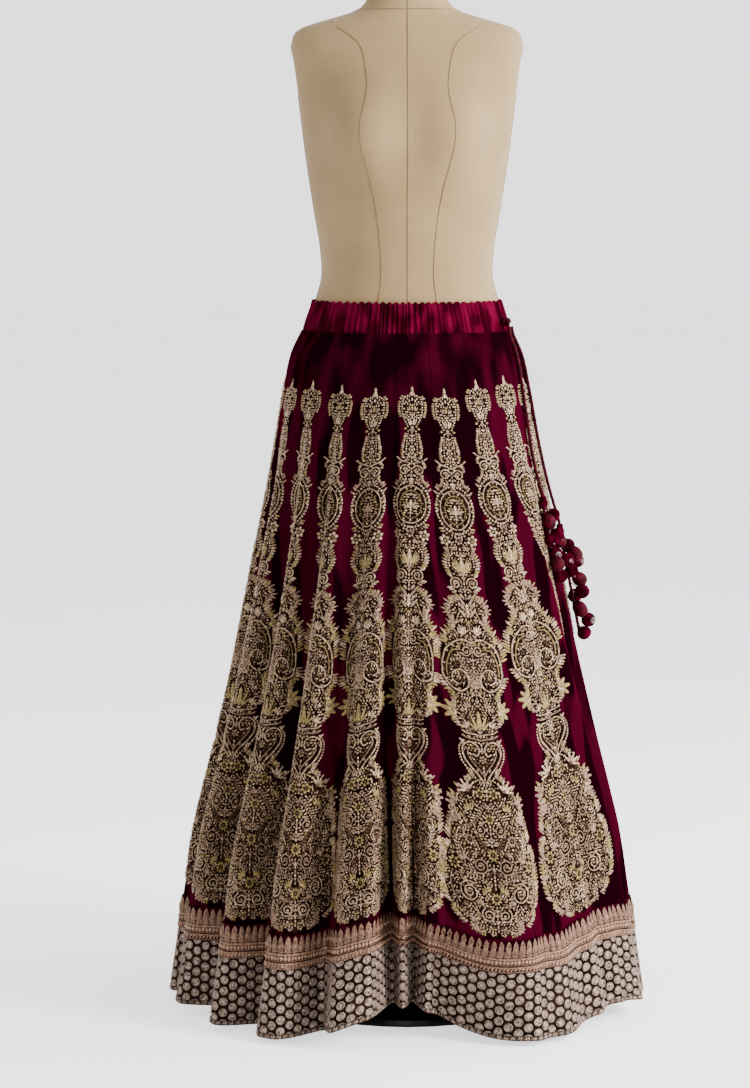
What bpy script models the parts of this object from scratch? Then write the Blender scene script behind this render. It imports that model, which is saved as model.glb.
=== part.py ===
"""A lehenga skirt: twenty velvet gores on a gathered drawstring casing, worn by a limbless dress form.

Metres, +Z up. The origin is the centre of the stand's underside, on the pole's axis, and the
garment's front faces -Y. An angle round the skirt is 0 at the front and grows towards +X.
"""

import math
from collections import namedtuple

import bmesh
import bpy
import numpy as np
from mathutils import Matrix, Vector

# --- driving sizes of the skirt -------------------------------------------------------------
WAIST_HEIGHT = 0.9935  # the seam between the casing and the gores
HEM_HEIGHT = 0.008  # the hem's lowest edge, just clear of the floor
KALI_COUNT = 20  # gores
CLOTH = 0.0020  # velvet with its lining
BORDER_CLOTH = 0.0024
BORDER_HEIGHT = 0.097  # the embroidered strip along the hem
BAND_HEIGHT = 0.048  # the leaf-edged ribbon over the gores' lower ends
BAND_CLOTH = 0.0012
CASING_HEIGHT = 0.043
CASING_CLOTH = 0.0028
CASING_GATHERS = 76
GATHER_DEPTH = 0.0042
SEAM_GAP = 0.0003
STRIP_COUNT = 4  # lengths of border and ribbon, joined end to end
SKIRT_DROP = WAIST_HEIGHT - HEM_HEIGHT
BORDER_TOP = 1 - BORDER_HEIGHT / SKIRT_DROP  # as shares of the way down from the waist
BAND_TOP = BORDER_TOP - BAND_HEIGHT / SKIRT_DROP
TURNING_PER_COLUMN = 31  # degrees that the cloth may turn between two columns of points

# --- the skirt's outline without its folds: half sizes at each height -----------------------
Outline = namedtuple("Outline", "height half_width half_depth")
OUTLINE = (
    Outline(0.9935, 0.154, 0.117),
    Outline(0.965, 0.168, 0.132),
    Outline(0.908, 0.180, 0.151),
    Outline(0.845, 0.190, 0.166),
    Outline(0.785, 0.201, 0.180),
    Outline(0.6575, 0.226, 0.208),
    Outline(0.5315, 0.251, 0.236),
    Outline(0.404, 0.280, 0.264),
    Outline(0.3125, 0.303, 0.286),
    Outline(0.2675, 0.314, 0.297),
    Outline(0.1685, 0.330, 0.314),
    Outline(0.0545, 0.346, 0.334),
    Outline(0.008, 0.353, 0.343),
)

# --- folds: a valley has a positive depth, a swelling ridge a negative one -------------------
Fold = namedtuple("Fold", "hem_deg waist_deg half_width_deg depth starts power")
FOLDS = (
    Fold(-5.2, -7.0, 4.8, 0.062, 0.06, 1.00),
    Fold(1.6, 2.4, 4.2, 0.050, 0.26, 1.30),
    Fold(10.0, 12.5, 5.0, 0.010, 0.00, 1.00),
    Fold(27.0, 26.0, 17.0, -0.024, 0.30, 1.30),
    Fold(36.5, 31.0, 5.0, 0.009, 0.03, 0.80),
    Fold(49.0, 47.0, 7.0, 0.013, 0.40, 1.20),
    Fold(58.0, 47.0, 5.0, 0.012, 0.03, 0.80),
    Fold(70.0, 56.0, 6.0, -0.012, 0.05, 0.80),
    Fold(82.0, 68.0, 6.8, 0.048, 0.06, 1.00),
    Fold(98.0, 90.0, 7.0, 0.052, 0.15, 0.70),
    Fold(114.0, 110.0, 7.4, 0.061, 0.05, 0.62),
    Fold(132.0, 129.5, 9.4, 0.078, 0.02, 0.62),
    Fold(152.5, 149.0, 7.8, 0.058, 0.08, 0.66),
    Fold(168.5, 169.0, 8.2, 0.072, 0.02, 0.60),
    Fold(188.0, 188.0, 9.6, 0.074, 0.04, 0.66),
    Fold(206.0, 207.0, 7.6, 0.066, 0.02, 0.60),
    Fold(222.5, 226.0, 8.2, 0.071, 0.06, 0.64),
    Fold(243.0, 245.5, 9.6, 0.077, 0.02, 0.66),
    Fold(262.0, 264.5, 7.4, 0.054, 0.15, 0.80),
    Fold(278.0, 282.5, 8.2, 0.069, 0.12, 0.76),
    Fold(297.5, 301.0, 9.0, 0.066, 0.08, 0.72),
    Fold(315.0, 320.0, 7.8, 0.062, 0.04, 0.68),
    Fold(334.5, 338.5, 8.2, 0.058, 0.08, 0.80),
    Fold(11.0, 11.0, 30.0, 0.078, 0.86, 0.50),
)

# --- stretches of the hem that hang a little higher ------------------------------------------
Lift = namedtuple("Lift", "angle_deg half_width_deg rise")
LIFTS = (
    Lift(-3.0, 29.0, 0.042),
    Lift(62.0, 24.0, 0.022),
    Lift(190.0, 30.0, 0.012),
    Lift(290.0, 24.0, 0.008),
)
SEAM_ANGLE = (12.5, 9.5)  # the first seam's angle at the waist and at the hem

# --- gores that are cut wider than the rest from below the hip ------------------------------
Cut = namedtuple("Cut", "gore extra")
WIDER_CUTS = (Cut(0, 0.13), Cut(1, 0.22))


def through_rows(x, xs, ys):
    """A smooth curve through a table's rows, read at x."""
    xs, ys = np.asarray(xs, float), np.asarray(ys, float)
    slopes = np.gradient(ys, xs)
    i = np.clip(np.searchsorted(xs, x) - 1, 0, len(xs) - 2)
    step = xs[i + 1] - xs[i]
    u = np.clip((x - xs[i]) / step, 0, 1)
    return (
        ys[i] * (2 * u**3 - 3 * u**2 + 1)
        + ys[i + 1] * (3 * u**2 - 2 * u**3)
        + step * (slopes[i] * (u**3 - 2 * u**2 + u) + slopes[i + 1] * (u**3 - u**2))
    )


def ease(x):
    """0 to 1 with level ends."""
    x = np.clip(x, 0, 1)
    return x * x * (3 - 2 * x)


def bell(offset, half_width):
    """1 at no offset, falling smoothly to 0 at the half width. Angles in degrees, wrapped."""
    wrapped = (offset + 180) % 360 - 180
    return np.where(np.abs(wrapped) < half_width, (1 + np.cos(np.pi * wrapped / half_width)) / 2, 0)


def gore_edges(t):
    """Where the gores meet at level t, as shares of the way round."""
    widths = np.ones(KALI_COUNT)
    for cut in WIDER_CUTS:
        widths[cut.gore] += cut.extra * ease((t - 0.20) / 0.26)
    return np.concatenate([[0], np.cumsum(widths)]) / widths.sum()


class Drape:
    """Where the skirt's cloth hangs. s is the share of the way round it, t the share of the way down."""

    def __init__(self, levels=101, samples=2400):
        self.levels = np.linspace(0, 1, levels)
        self.shares = np.linspace(0, 1, samples + 1)
        self.angles = np.empty((levels, samples + 1))
        self.girth = np.empty(levels)
        for row, level in enumerate(self.levels):
            start = np.interp(level, (0, 1), SEAM_ANGLE)
            angle = start + np.linspace(0, 360, samples + 1)
            radius, theta = self.radius(angle, level), np.radians(angle)
            steps = np.hypot(np.diff(radius * np.sin(theta)), np.diff(radius * np.cos(theta)))
            run = np.concatenate([[0], np.cumsum(steps)])
            self.girth[row] = run[-1]
            shares = np.interp(self.shares * KALI_COUNT, np.arange(KALI_COUNT + 1), gore_edges(level))
            self.angles[row] = np.interp(shares, run / run[-1], angle)

    @staticmethod
    def radius(angle, t):
        """The outer face's distance from the axis, at an angle in degrees."""
        height = WAIST_HEIGHT - t * SKIRT_DROP
        rows = OUTLINE[::-1]
        heights = [row.height for row in rows]
        wide = through_rows(height, heights, [row.half_width for row in rows])
        deep = through_rows(height, heights, [row.half_depth for row in rows])
        theta = np.radians(angle)
        plain = 1 / np.sqrt((np.sin(theta) / wide) ** 2 + (np.cos(theta) / deep) ** 2)
        for fold in FOLDS:
            centre = fold.waist_deg + (fold.hem_deg - fold.waist_deg) * t
            run = np.clip((t - fold.starts) / (1 - fold.starts), 0, 1)
            grown = 1.07 * run ** (1 + fold.power) / (run + 0.07)
            plain = plain - fold.depth * grown * bell(angle - centre, fold.half_width_deg)
        return plain

    def angle(self, s, t):
        """The angle of the cloth's vertical thread s at level t, in degrees."""
        turns, s = np.floor(s), s - np.floor(s)
        row = np.clip(t * (len(self.levels) - 1), 0, len(self.levels) - 1.000001)
        column = s * (len(self.shares) - 1)
        i, j = row.astype(int), np.minimum(column.astype(int), len(self.shares) - 2)
        a, b = row - i, column - j
        above = self.angles[i, j] * (1 - b) + self.angles[i, j + 1] * b
        below = self.angles[i + 1, j] * (1 - b) + self.angles[i + 1, j + 1] * b
        return above * (1 - a) + below * a + 360 * turns

    def face(self, s, t):
        """Points of the outer face."""
        angle = self.angle(s, t)
        rise = sum(lift.rise * bell(angle - lift.angle_deg, lift.half_width_deg) for lift in LIFTS)
        radius, theta = self.radius(angle, t), np.radians(angle)
        height = WAIST_HEIGHT - t * (SKIRT_DROP - rise)
        return np.stack([radius * np.sin(theta), -radius * np.cos(theta), height], axis=-1)

    def outward(self, s, t):
        """Unit normals of the outer face."""
        ds, dt = 2e-4, 2e-3
        along = self.face(s + ds, t) - self.face(s - ds, t)
        down = self.face(s, np.minimum(t + dt, 1)) - self.face(s, np.maximum(t - dt, 0))
        normal = np.cross(down, along)
        return normal / np.linalg.norm(normal, axis=-1, keepdims=True)

    def hang(self, s, t, out):
        """Points a distance out from the outer face."""
        return self.face(s, t) + self.outward(s, t) * np.asarray(out)[..., None]

    def girth_at(self, t):
        return float(np.interp(t, self.levels, self.girth))


# --- building the cloth pieces ---------------------------------------------------------------
def material(name, colour, roughness, metallic=0.0):
    """A Principled material, made once for each name."""
    found = bpy.data.materials.get(name)
    if found:
        return found
    made = bpy.data.materials.new(name)
    made.use_nodes = True
    shader = made.node_tree.nodes["Principled BSDF"]
    shader.inputs["Base Color"].default_value = (*colour, 1)
    shader.inputs["Roughness"].default_value = roughness
    shader.inputs["Metallic"].default_value = metallic
    return made


def velvet():
    return material("wine_velvet", (0.065, 0.003, 0.014), 0.85)


def zardozi():
    return material("zardozi_gold", (0.42, 0.30, 0.20), 0.45, 0.6)


def linen():
    return material("form_linen", (0.53, 0.38, 0.22), 0.8)


def stand_steel():
    return material("stand_steel", (0.06, 0.06, 0.065), 0.45, 0.8)


def add_object(name, bm, finish, collection, smooth=True):
    """A named object made from a bmesh, which it frees."""
    mesh = bpy.data.meshes.new(name)
    bm.to_mesh(mesh)
    bm.free()
    mesh.materials.append(finish)
    if smooth:
        mesh.shade_smooth()
        mesh.set_sharp_from_angle(angle=math.radians(40))
    made = bpy.data.objects.new(name, mesh)
    collection.objects.link(made)
    return made


def hung_cloth(columns, rows, place):
    """A wall of cloth: a flat slab over a grid, with each point moved to where place puts it.

    place takes the column's value, the row's value and 0 for the inner face or 1 for the outer.
    """
    bm = bmesh.new()
    across, down = len(columns) - 1, len(rows) - 1
    bmesh.ops.create_grid(bm, x_segments=across, y_segments=down, size=0.5)
    outer = bmesh.ops.extrude_face_region(bm, geom=bm.faces[:])["geom"]
    for vertex in outer:
        if isinstance(vertex, bmesh.types.BMVert):
            vertex.co.z = 1
    flat = np.array([vertex.co for vertex in bm.verts])
    column = np.rint((flat[:, 0] + 0.5) * across).astype(int)
    row = np.rint((flat[:, 1] + 0.5) * down).astype(int)
    points = place(np.asarray(columns)[column], np.asarray(rows)[row], flat[:, 2])
    place_along = {}
    for index, (vertex, point) in enumerate(zip(bm.verts, points)):
        vertex.co = point
        place_along[vertex] = (flat[index, 2], column[index] + row[index])
    # two pieces that share a seam split its edge walls the same way, so they stay clear of each other
    for wall in bm.faces[:]:
        outer_side = [vertex for vertex in wall.verts if place_along[vertex][0] == 1]
        inner_side = [vertex for vertex in wall.verts if place_along[vertex][0] == 0]
        if outer_side and inner_side:
            first = min(outer_side, key=lambda vertex: place_along[vertex][1])
            last = max(inner_side, key=lambda vertex: place_along[vertex][1])
            bmesh.utils.face_split(wall, first, last)
    bmesh.ops.triangulate(bm, faces=bm.faces[:], quad_method="SHORT_EDGE")
    bmesh.ops.recalc_face_normals(bm, faces=bm.faces[:])
    return bm


def gore_columns(drape, index):
    """Shares round the skirt for a gore's columns of points: more where its folds turn more."""
    low, high = index / KALI_COUNT, (index + 1) / KALI_COUNT
    fine = drape.face(np.linspace(low, high, 61), np.full(61, 0.97))[:, :2]
    headings = np.unwrap(np.arctan2(*np.diff(fine, axis=0).T))
    turning = math.degrees(np.abs(np.diff(headings)).sum())
    count = int(np.clip(math.ceil(turning / TURNING_PER_COLUMN), 6, 13))
    return np.linspace(low, high, count + 1)


def build_gores(drape, collection):
    """The wedge-shaped velvet panels, from the casing's seam down to the border's seam."""
    drops = (0, 0.06, 0.15, 0.28, 0.43, 0.58, 0.72, BAND_TOP, BORDER_TOP)
    for index in range(KALI_COUNT):
        columns = gore_columns(drape, index)
        half_gap = SEAM_GAP / 2

        def place(s, t, layer, low=columns[0], high=columns[-1]):
            inset = half_gap / drape.girth_at(t) if np.isscalar(t) else half_gap / np.interp(
                t, drape.levels, drape.girth)
            s = np.clip(s, low + inset, high - inset)
            t = np.clip(t, half_gap / SKIRT_DROP, BORDER_TOP - half_gap / SKIRT_DROP)
            return drape.hang(s, t, (layer - 1) * CLOTH)

        bm = hung_cloth(columns, drops, place)
        add_object(f"kali_{index + 1:02d}", bm, velvet(), collection)


def strip_columns(drape, strip):
    """The columns of every gore that a quarter of the hem runs under."""
    gores = KALI_COUNT // STRIP_COUNT
    first = strip * gores
    shares = [gore_columns(drape, first + gore)[:-1] for gore in range(gores)]
    return np.concatenate([*shares, [(first + gores) / KALI_COUNT]])


def build_strips(drape, collection, stem, rows, inner, outer):
    """A long strip of trimming round the skirt, in a few lengths whose ends meet."""
    for strip in range(STRIP_COUNT):
        columns = strip_columns(drape, strip)

        def place(s, t, layer, low=columns[0], high=columns[-1]):
            inset = SEAM_GAP / 2 / np.interp(t, drape.levels, drape.girth)
            s = np.clip(s, low + inset, high - inset)
            return drape.hang(s, t, inner + layer * (outer - inner))

        bm = hung_cloth(columns, rows, place)
        add_object(f"{stem}_{strip + 1}", bm, zardozi(), collection)


# --- the dress form --------------------------------------------------------------------------
Section = namedtuple("Section", "height half_width front back")
FORM = (
    Section(0.770, 0.150, 0.104, 0.110),
    Section(0.778, 0.163, 0.115, 0.122),
    Section(0.800, 0.169, 0.120, 0.128),
    Section(0.860, 0.171, 0.121, 0.130),
    Section(0.930, 0.161, 0.114, 0.121),
    Section(0.9935, 0.1465, 0.1095, 0.1095),
    Section(1.0365, 0.1335, 0.1000, 0.1000),
    Section(1.070, 0.1245, 0.0930, 0.0930),
    Section(1.110, 0.1260, 0.0940, 0.0940),
    Section(1.160, 0.134, 0.099, 0.099),
    Section(1.210, 0.142, 0.104, 0.103),
    Section(1.260, 0.149, 0.106, 0.106),
    Section(1.310, 0.155, 0.102, 0.107),
    Section(1.350, 0.160, 0.092, 0.105),
    Section(1.385, 0.165, 0.080, 0.096),
    Section(1.408, 0.168, 0.068, 0.084),
    Section(1.434, 0.145, 0.055, 0.066),
    Section(1.444, 0.110, 0.052, 0.061),
    Section(1.453, 0.080, 0.050, 0.057),
    Section(1.476, 0.056, 0.046, 0.050),
    Section(1.528, 0.052, 0.045, 0.046),
)
BUST_HEIGHT = 1.272
BUST_SPREAD_DEG = 27.0
BUST_HALF_ANGLE = 42.0
BUST_FALL = 0.062
BUST_DEPTH = 0.034
FORM_SIDES = 30
POLE_RADIUS = 0.016
POLE_FOOT = 0.026
BASE_RADIUS = 0.190
BASE_THICKNESS = 0.016
HUB_RADIUS = 0.034
COLLAR_RADIUS = 0.045
COLLAR_HEIGHT = 0.022
CAP_HEIGHT = 0.012


def form_radius(angle, height):
    """The dress form's radius at an angle in degrees and a height."""
    heights = [row.height for row in FORM]
    wide = through_rows(height, heights, [row.half_width for row in FORM])
    front = through_rows(height, heights, [row.front for row in FORM])
    back = through_rows(height, heights, [row.back for row in FORM])
    theta = np.radians(angle)
    deep = np.where(np.cos(theta) > 0, front, back)
    plain = 1 / np.sqrt((np.sin(theta) / wide) ** 2 + (np.cos(theta) / deep) ** 2)
    fall = np.exp(-(((height - BUST_HEIGHT) / BUST_FALL) ** 2))
    cups = bell(angle - BUST_SPREAD_DEG, BUST_HALF_ANGLE) + bell(angle + BUST_SPREAD_DEG, BUST_HALF_ANGLE)
    return plain + BUST_DEPTH * fall * cups


def loft(rings):
    """A closed solid through rings of points, one above the other."""
    bm = bmesh.new()
    loops = []
    for ring in rings:
        loops.append([bm.verts.new(point) for point in ring])
    for low, high in zip(loops, loops[1:]):
        edges = []
        for loop in (low, high):
            for i, vertex in enumerate(loop):
                pair = (vertex, loop[i - 1])
                edges.append(bm.edges.get(pair) or bm.edges.new(pair))
        bmesh.ops.bridge_loops(bm, edges=edges)
    bm.faces.new(loops[0])
    bm.faces.new(loops[-1])
    bmesh.ops.recalc_face_normals(bm, faces=bm.faces[:])
    return bm


def build_torso(collection):
    """The form's body, from the hips to the top of the neck."""
    angles = np.arange(FORM_SIDES) * 360 / FORM_SIDES
    theta = np.radians(angles)
    rings = []
    for section in FORM:
        radius = form_radius(angles, section.height)
        height = np.full(FORM_SIDES, section.height)
        rings.append(np.stack([radius * np.sin(theta), -radius * np.cos(theta), height], axis=1))
    add_object("form_torso", loft(rings), linen(), collection)


def turned(name, profile, finish, collection, steps=28):
    """A solid turned about the pole's axis. profile lists (radius, height) from the top down."""
    mesh = bpy.data.meshes.new(name)
    mesh.from_pydata([(r, 0, z) for r, z in profile], [(i, i + 1) for i in range(len(profile) - 1)], [])
    mesh.materials.append(finish)
    made = bpy.data.objects.new(name, mesh)
    collection.objects.link(made)
    screw = made.modifiers.new("turn", "SCREW")
    screw.steps = screw.render_steps = steps
    screw.use_merge_vertices = True
    screw.merge_threshold = 0.00001
    screw.use_smooth_shade = True
    return made


def build_stand(collection):
    """The neck cap, the collar under the body, the pole and the round foot."""
    top, bottom = FORM[-1], FORM[0]
    cap_low = top.height + SEAM_GAP
    cap_high = cap_low + CAP_HEIGHT
    turned("form_neck_cap", [
        (0, cap_high), (0.028, cap_high), (0.038, cap_high - 0.002), (0.0405, cap_high - 0.006),
        (0.0395, cap_low), (0, cap_low),
    ], material("turned_wood", (0.30, 0.17, 0.08), 0.5), collection)
    collar_high = bottom.height - SEAM_GAP
    collar_low = collar_high - COLLAR_HEIGHT
    turned("form_collar", [
        (0, collar_high), (COLLAR_RADIUS, collar_high), (COLLAR_RADIUS, collar_high - 0.006),
        (0.026, collar_high - 0.010), (0.024, collar_low), (0, collar_low),
    ], stand_steel(), collection)
    pole_high = collar_low - SEAM_GAP
    turned("stand_pole", [
        (0, pole_high), (POLE_RADIUS, pole_high), (POLE_RADIUS, POLE_FOOT + 0.001),
        (0, POLE_FOOT + 0.001),
    ], stand_steel(), collection, steps=20)
    turned("stand_base", [
        (0, POLE_FOOT + 0.0007), (HUB_RADIUS - 0.003, POLE_FOOT + 0.0007), (HUB_RADIUS, POLE_FOOT - 0.002),
        (HUB_RADIUS + 0.004, BASE_THICKNESS), (BASE_RADIUS - 0.010, BASE_THICKNESS - 0.003),
        (BASE_RADIUS - 0.002, BASE_THICKNESS - 0.007), (BASE_RADIUS, 0.004), (BASE_RADIUS, 0), (0, 0),
    ], stand_steel(), collection, steps=36)


# --- the gathered casing ---------------------------------------------------------------------
SLIT_ANGLE = 73.0  # where the drawcord comes out, over the form's left hip
SLIT_HALF_DEG = 1.7
CASING_CLEAR = 0.0006


def gather_wave(angle, gathers):
    """0 at the bottom of a gather and 1 at its crest; the gathers are of unequal width."""
    drift = 2.4 * np.sin(np.radians(3 * angle + 20)) + 1.4 * np.sin(np.radians(7 * angle + 75))
    return 0.5 - 0.5 * np.cos(np.radians((angle + drift) * gathers))


def casing_radius(angle, rise, layer):
    """The casing's radius; rise is 0 at the seam and 1 at its top edge."""
    height = WAIST_HEIGHT + rise * CASING_HEIGHT
    depth = GATHER_DEPTH * (1 - 0.3 * rise) * gather_wave(angle, CASING_GATHERS)
    return form_radius(angle, height) + CASING_CLEAR + depth + layer * CASING_CLOTH


def build_casing(collection):
    """The drawstring casing: one strip gathered round the waist, its ends at the slit."""
    start, end = SLIT_ANGLE + SLIT_HALF_DEG, SLIT_ANGLE + 360 - SLIT_HALF_DEG
    columns = np.linspace(start, end, CASING_GATHERS * 4 + 1)

    def place(angle, rise, layer):
        radius, theta = casing_radius(angle, rise, layer), np.radians(angle)
        height = WAIST_HEIGHT + SEAM_GAP / 2 + rise * CASING_HEIGHT
        return np.stack([radius * np.sin(theta), -radius * np.cos(theta), height], axis=-1)

    bm = hung_cloth(columns, (0, 1), place)
    add_object("waist_casing", bm, velvet(), collection)


# --- the drawcord and its tassels ------------------------------------------------------------
CORD_DIAMETER = 0.005
KNOT_SIZE = (0.013, 0.016, 0.014)  # outwards, sideways, up
KNOT_HEIGHT = 1.008
KNOT_CLEAR = 0.0005
Waypoint = namedtuple("Waypoint", "height angle_deg stand_off")
CORDS = {
    "drawcord_front": (
        Waypoint(1.0005, 72.0, 0.0050),
        Waypoint(0.985, 71.2, 0.0030),
        Waypoint(0.955, 70.2, 0.0014),
        Waypoint(0.910, 69.6, 0.0010),
        Waypoint(0.860, 69.8, 0.0018),
        Waypoint(0.810, 70.6, 0.0024),
        Waypoint(0.765, 71.8, 0.0062),
        Waypoint(0.756, 72.0, 0.0080),
    ),
    "drawcord_back": (
        Waypoint(1.0005, 74.4, 0.0050),
        Waypoint(0.985, 75.4, 0.0030),
        Waypoint(0.955, 76.6, 0.0014),
        Waypoint(0.905, 78.0, 0.0010),
        Waypoint(0.860, 79.4, 0.0010),
        Waypoint(0.810, 81.0, 0.0012),
        Waypoint(0.760, 82.4, 0.0032),
        Waypoint(0.712, 83.6, 0.0080),
    ),
}
BALL_RADIUS = 0.0100
BALL_CLEAR = 0.0028
CORE_RADIUS = 0.0024
STEM_RADIUS = 0.0017
HEAD_RADIUS = 0.0065
HEAD_HEIGHT = 0.016
HEAD_GAP = 0.0008  # clears the cord's slanting end
Ball = namedtuple("Ball", "angle_deg height layer")
TASSELS = {
    "latkan_front": (
        Ball(74.5, 0.727, 0.1),
        Ball(69.0, 0.719, 0.0),
        Ball(72.0, 0.699, 0.9),
        Ball(66.8, 0.694, 0.0),
        Ball(75.5, 0.690, 0.1),
        Ball(70.5, 0.672, 0.2),
        Ball(75.0, 0.662, 1.0),
        Ball(66.5, 0.660, 0.1),
        Ball(71.5, 0.640, 0.4),
    ),
    "latkan_back": (
        Ball(86.5, 0.678, 0.2),
        Ball(82.0, 0.668, 1.0),
        Ball(88.0, 0.655, 1.1),
        Ball(83.5, 0.642, 0.1),
        Ball(87.5, 0.628, 0.9),
        Ball(83.0, 0.612, 1.0),
        Ball(88.5, 0.603, 0.1),
        Ball(84.0, 0.585, 0.3),
        Ball(87.0, 0.568, 1.0),
        Ball(84.5, 0.550, 0.2),
    ),
}


def beside_skirt(angle, height, ball, stand_off):
    """The centre of a ball that rests against the skirt, or hangs a stand-off clear of it.

    The ball is pushed in towards the axis till it touches the cloth anywhere.
    """
    turn, drop = np.meshgrid(np.linspace(-8, 8, 65), np.linspace(-1, 1, 9) * ball)
    near = angle + turn
    level = np.clip((WAIST_HEIGHT - height - drop) / SKIRT_DROP, 0, 1)
    radius, apart = Drape.radius(near, level), np.radians(turn)
    beside = np.hypot(radius * np.sin(apart), drop)
    reach = radius * np.cos(apart) + np.sqrt(np.clip(ball**2 - beside**2, 0, None))
    out = reach[beside < ball].max() + stand_off
    theta = math.radians(angle)
    return np.array([out * math.sin(theta), -out * math.cos(theta), height])


def cord_line(waypoints, count=30):
    """Points along a cord's smooth route, from the knot down."""
    rows = waypoints[::-1]
    heights = [row.height for row in rows]
    height = np.linspace(waypoints[0].height, waypoints[-1].height, count)
    angle = through_rows(height, heights, [row.angle_deg for row in rows])
    stand_off = through_rows(height, heights, [row.stand_off for row in rows])
    return np.array([beside_skirt(*at[:2], CORD_DIAMETER / 2, at[2]) for at in zip(angle, height, stand_off)])


def tube(name, points, radius, finish, collection, resolution=2):
    """A round tube along a line of points, with filled ends."""
    curve = bpy.data.curves.new(name, "CURVE")
    curve.dimensions = "3D"
    curve.bevel_depth = radius
    curve.bevel_resolution = resolution
    curve.use_fill_caps = True
    spline = curve.splines.new("POLY")
    spline.points.add(len(points) - 1)
    for point, place in zip(spline.points, points):
        point.co = (*place, 1)
    curve.materials.append(finish)
    made = bpy.data.objects.new(name, curve)
    collection.objects.link(made)
    return made


def build_drawcord(collection):
    """The knot outside the slit and the cord's two free ends."""
    deep, wide, tall = (size / 2 for size in KNOT_SIZE)
    turn, drop = np.meshgrid(np.linspace(-4, 4, 81), np.linspace(-1, 1, 21) * tall)
    radius = casing_radius(SLIT_ANGLE + turn, (KNOT_HEIGHT + drop - WAIST_HEIGHT) / CASING_HEIGHT, 1)
    apart = np.radians(turn)
    inside = 1 - (radius * np.sin(apart) / wide) ** 2 - (drop / tall) ** 2
    reach = radius * np.cos(apart) + deep * np.sqrt(np.clip(inside, 0, None))
    out = reach[(inside > 0) & (np.abs(turn) > SLIT_HALF_DEG)].max() + KNOT_CLEAR
    theta = math.radians(SLIT_ANGLE)
    bm = bmesh.new()
    bmesh.ops.create_uvsphere(bm, u_segments=12, v_segments=8, radius=0.5)
    bmesh.ops.scale(bm, verts=bm.verts[:], vec=KNOT_SIZE)
    turn = Matrix.Rotation(theta - math.pi / 2, 4, "Z")
    place = Matrix.Translation((out * math.sin(theta), -out * math.cos(theta), KNOT_HEIGHT))
    bm.transform(place @ turn)
    add_object("drawcord_knot", bm, velvet(), collection)
    for name, waypoints in CORDS.items():
        tube(name, cord_line(waypoints), CORD_DIAMETER / 2, velvet(), collection)


def stem(points, radius):
    """A thin closed tube as a bmesh, to be joined to others."""
    curve = tube("stem", points, radius, velvet(), bpy.context.scene.collection, resolution=0)
    bpy.context.view_layer.update()
    mesh = bpy.data.meshes.new_from_object(curve.evaluated_get(bpy.context.evaluated_depsgraph_get()))
    bm = bmesh.new()
    bm.from_mesh(mesh)
    bmesh.ops.remove_doubles(bm, verts=bm.verts[:], dist=0.00001)
    bpy.data.objects.remove(curve)
    bpy.data.meshes.remove(mesh)
    return bm


def joined(name, pieces, collection):
    """One body made of overlapping closed meshes, by Boolean unions."""
    whole = add_object(name, pieces[0], velvet(), collection)
    for index, piece in enumerate(pieces[1:]):
        other = add_object(f"{name}_join_{index}", piece, velvet(), collection)
        union = whole.modifiers.new("join", "BOOLEAN")
        union.operation = "UNION"
        union.solver = "EXACT"
        union.object = other
        bpy.context.view_layer.update()
        mesh = bpy.data.meshes.new_from_object(whole.evaluated_get(bpy.context.evaluated_depsgraph_get()))
        whole.modifiers.clear()
        whole.data = mesh
        bpy.data.objects.remove(other)
    return whole


def build_tassel(name, cord, balls, collection):
    """A tassel: a head on the cord's end, a core under it, and cloth balls on short stems."""
    end = cord_line(CORDS[cord])[-1]
    head_low = CORDS[cord][-1].height - HEAD_GAP - HEAD_HEIGHT
    head = bmesh.new()
    bmesh.ops.create_cone(head, cap_ends=True, segments=10, radius1=HEAD_RADIUS, radius2=CORD_DIAMETER / 2,
                          depth=HEAD_HEIGHT)
    head.transform(Matrix.Translation((end[0], end[1], head_low + HEAD_HEIGHT / 2)))
    lowest = min(balls, key=lambda ball: ball.height)
    heights = np.linspace(head_low, lowest.height, 7)
    angles = np.linspace(CORDS[cord][-1].angle_deg, lowest.angle_deg, 7)
    core = np.array([beside_skirt(angle, height, CORE_RADIUS, BALL_RADIUS * 0.6) for angle, height in
                     zip(angles, heights)])
    core[0] = (end[0], end[1], head_low + HEAD_HEIGHT / 2)
    pieces = [head, stem(core, CORE_RADIUS)]
    for ball in balls:
        stand_off = BALL_CLEAR + BALL_RADIUS * 1.2 * ball.layer
        centre = beside_skirt(ball.angle_deg, ball.height, BALL_RADIUS, stand_off)
        root_height = min(ball.height + 0.014, head_low)
        root = [np.interp(root_height, core[::-1, 2], core[::-1, axis]) for axis in range(3)]
        pieces.append(stem([root, centre], STEM_RADIUS))
        globe = bmesh.new()
        bmesh.ops.create_uvsphere(globe, u_segments=8, v_segments=5, radius=BALL_RADIUS)
        globe.transform(Matrix.Translation(centre))
        pieces.append(globe)
    return joined(name, pieces, collection)


def main():
    for old in list(bpy.data.objects):
        bpy.data.objects.remove(old)
    collection = bpy.data.collections.new("lehenga_skirt_on_form")
    bpy.context.scene.collection.children.link(collection)
    drape = Drape()
    build_gores(drape, collection)
    lift_off = 0.0007
    build_strips(drape, collection, "leaf_band", (BAND_TOP, BORDER_TOP), lift_off, lift_off + BAND_CLOTH)
    border_seam = BORDER_TOP + SEAM_GAP / 2 / SKIRT_DROP
    build_strips(drape, collection, "hem_border", (border_seam, 1), -BORDER_CLOTH, 0)
    build_casing(collection)
    build_torso(collection)
    build_stand(collection)
    build_drawcord(collection)
    for name, cord in (("latkan_front", "drawcord_front"), ("latkan_back", "drawcord_back")):
        build_tassel(name, cord, TASSELS[name], collection)


main()
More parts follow.
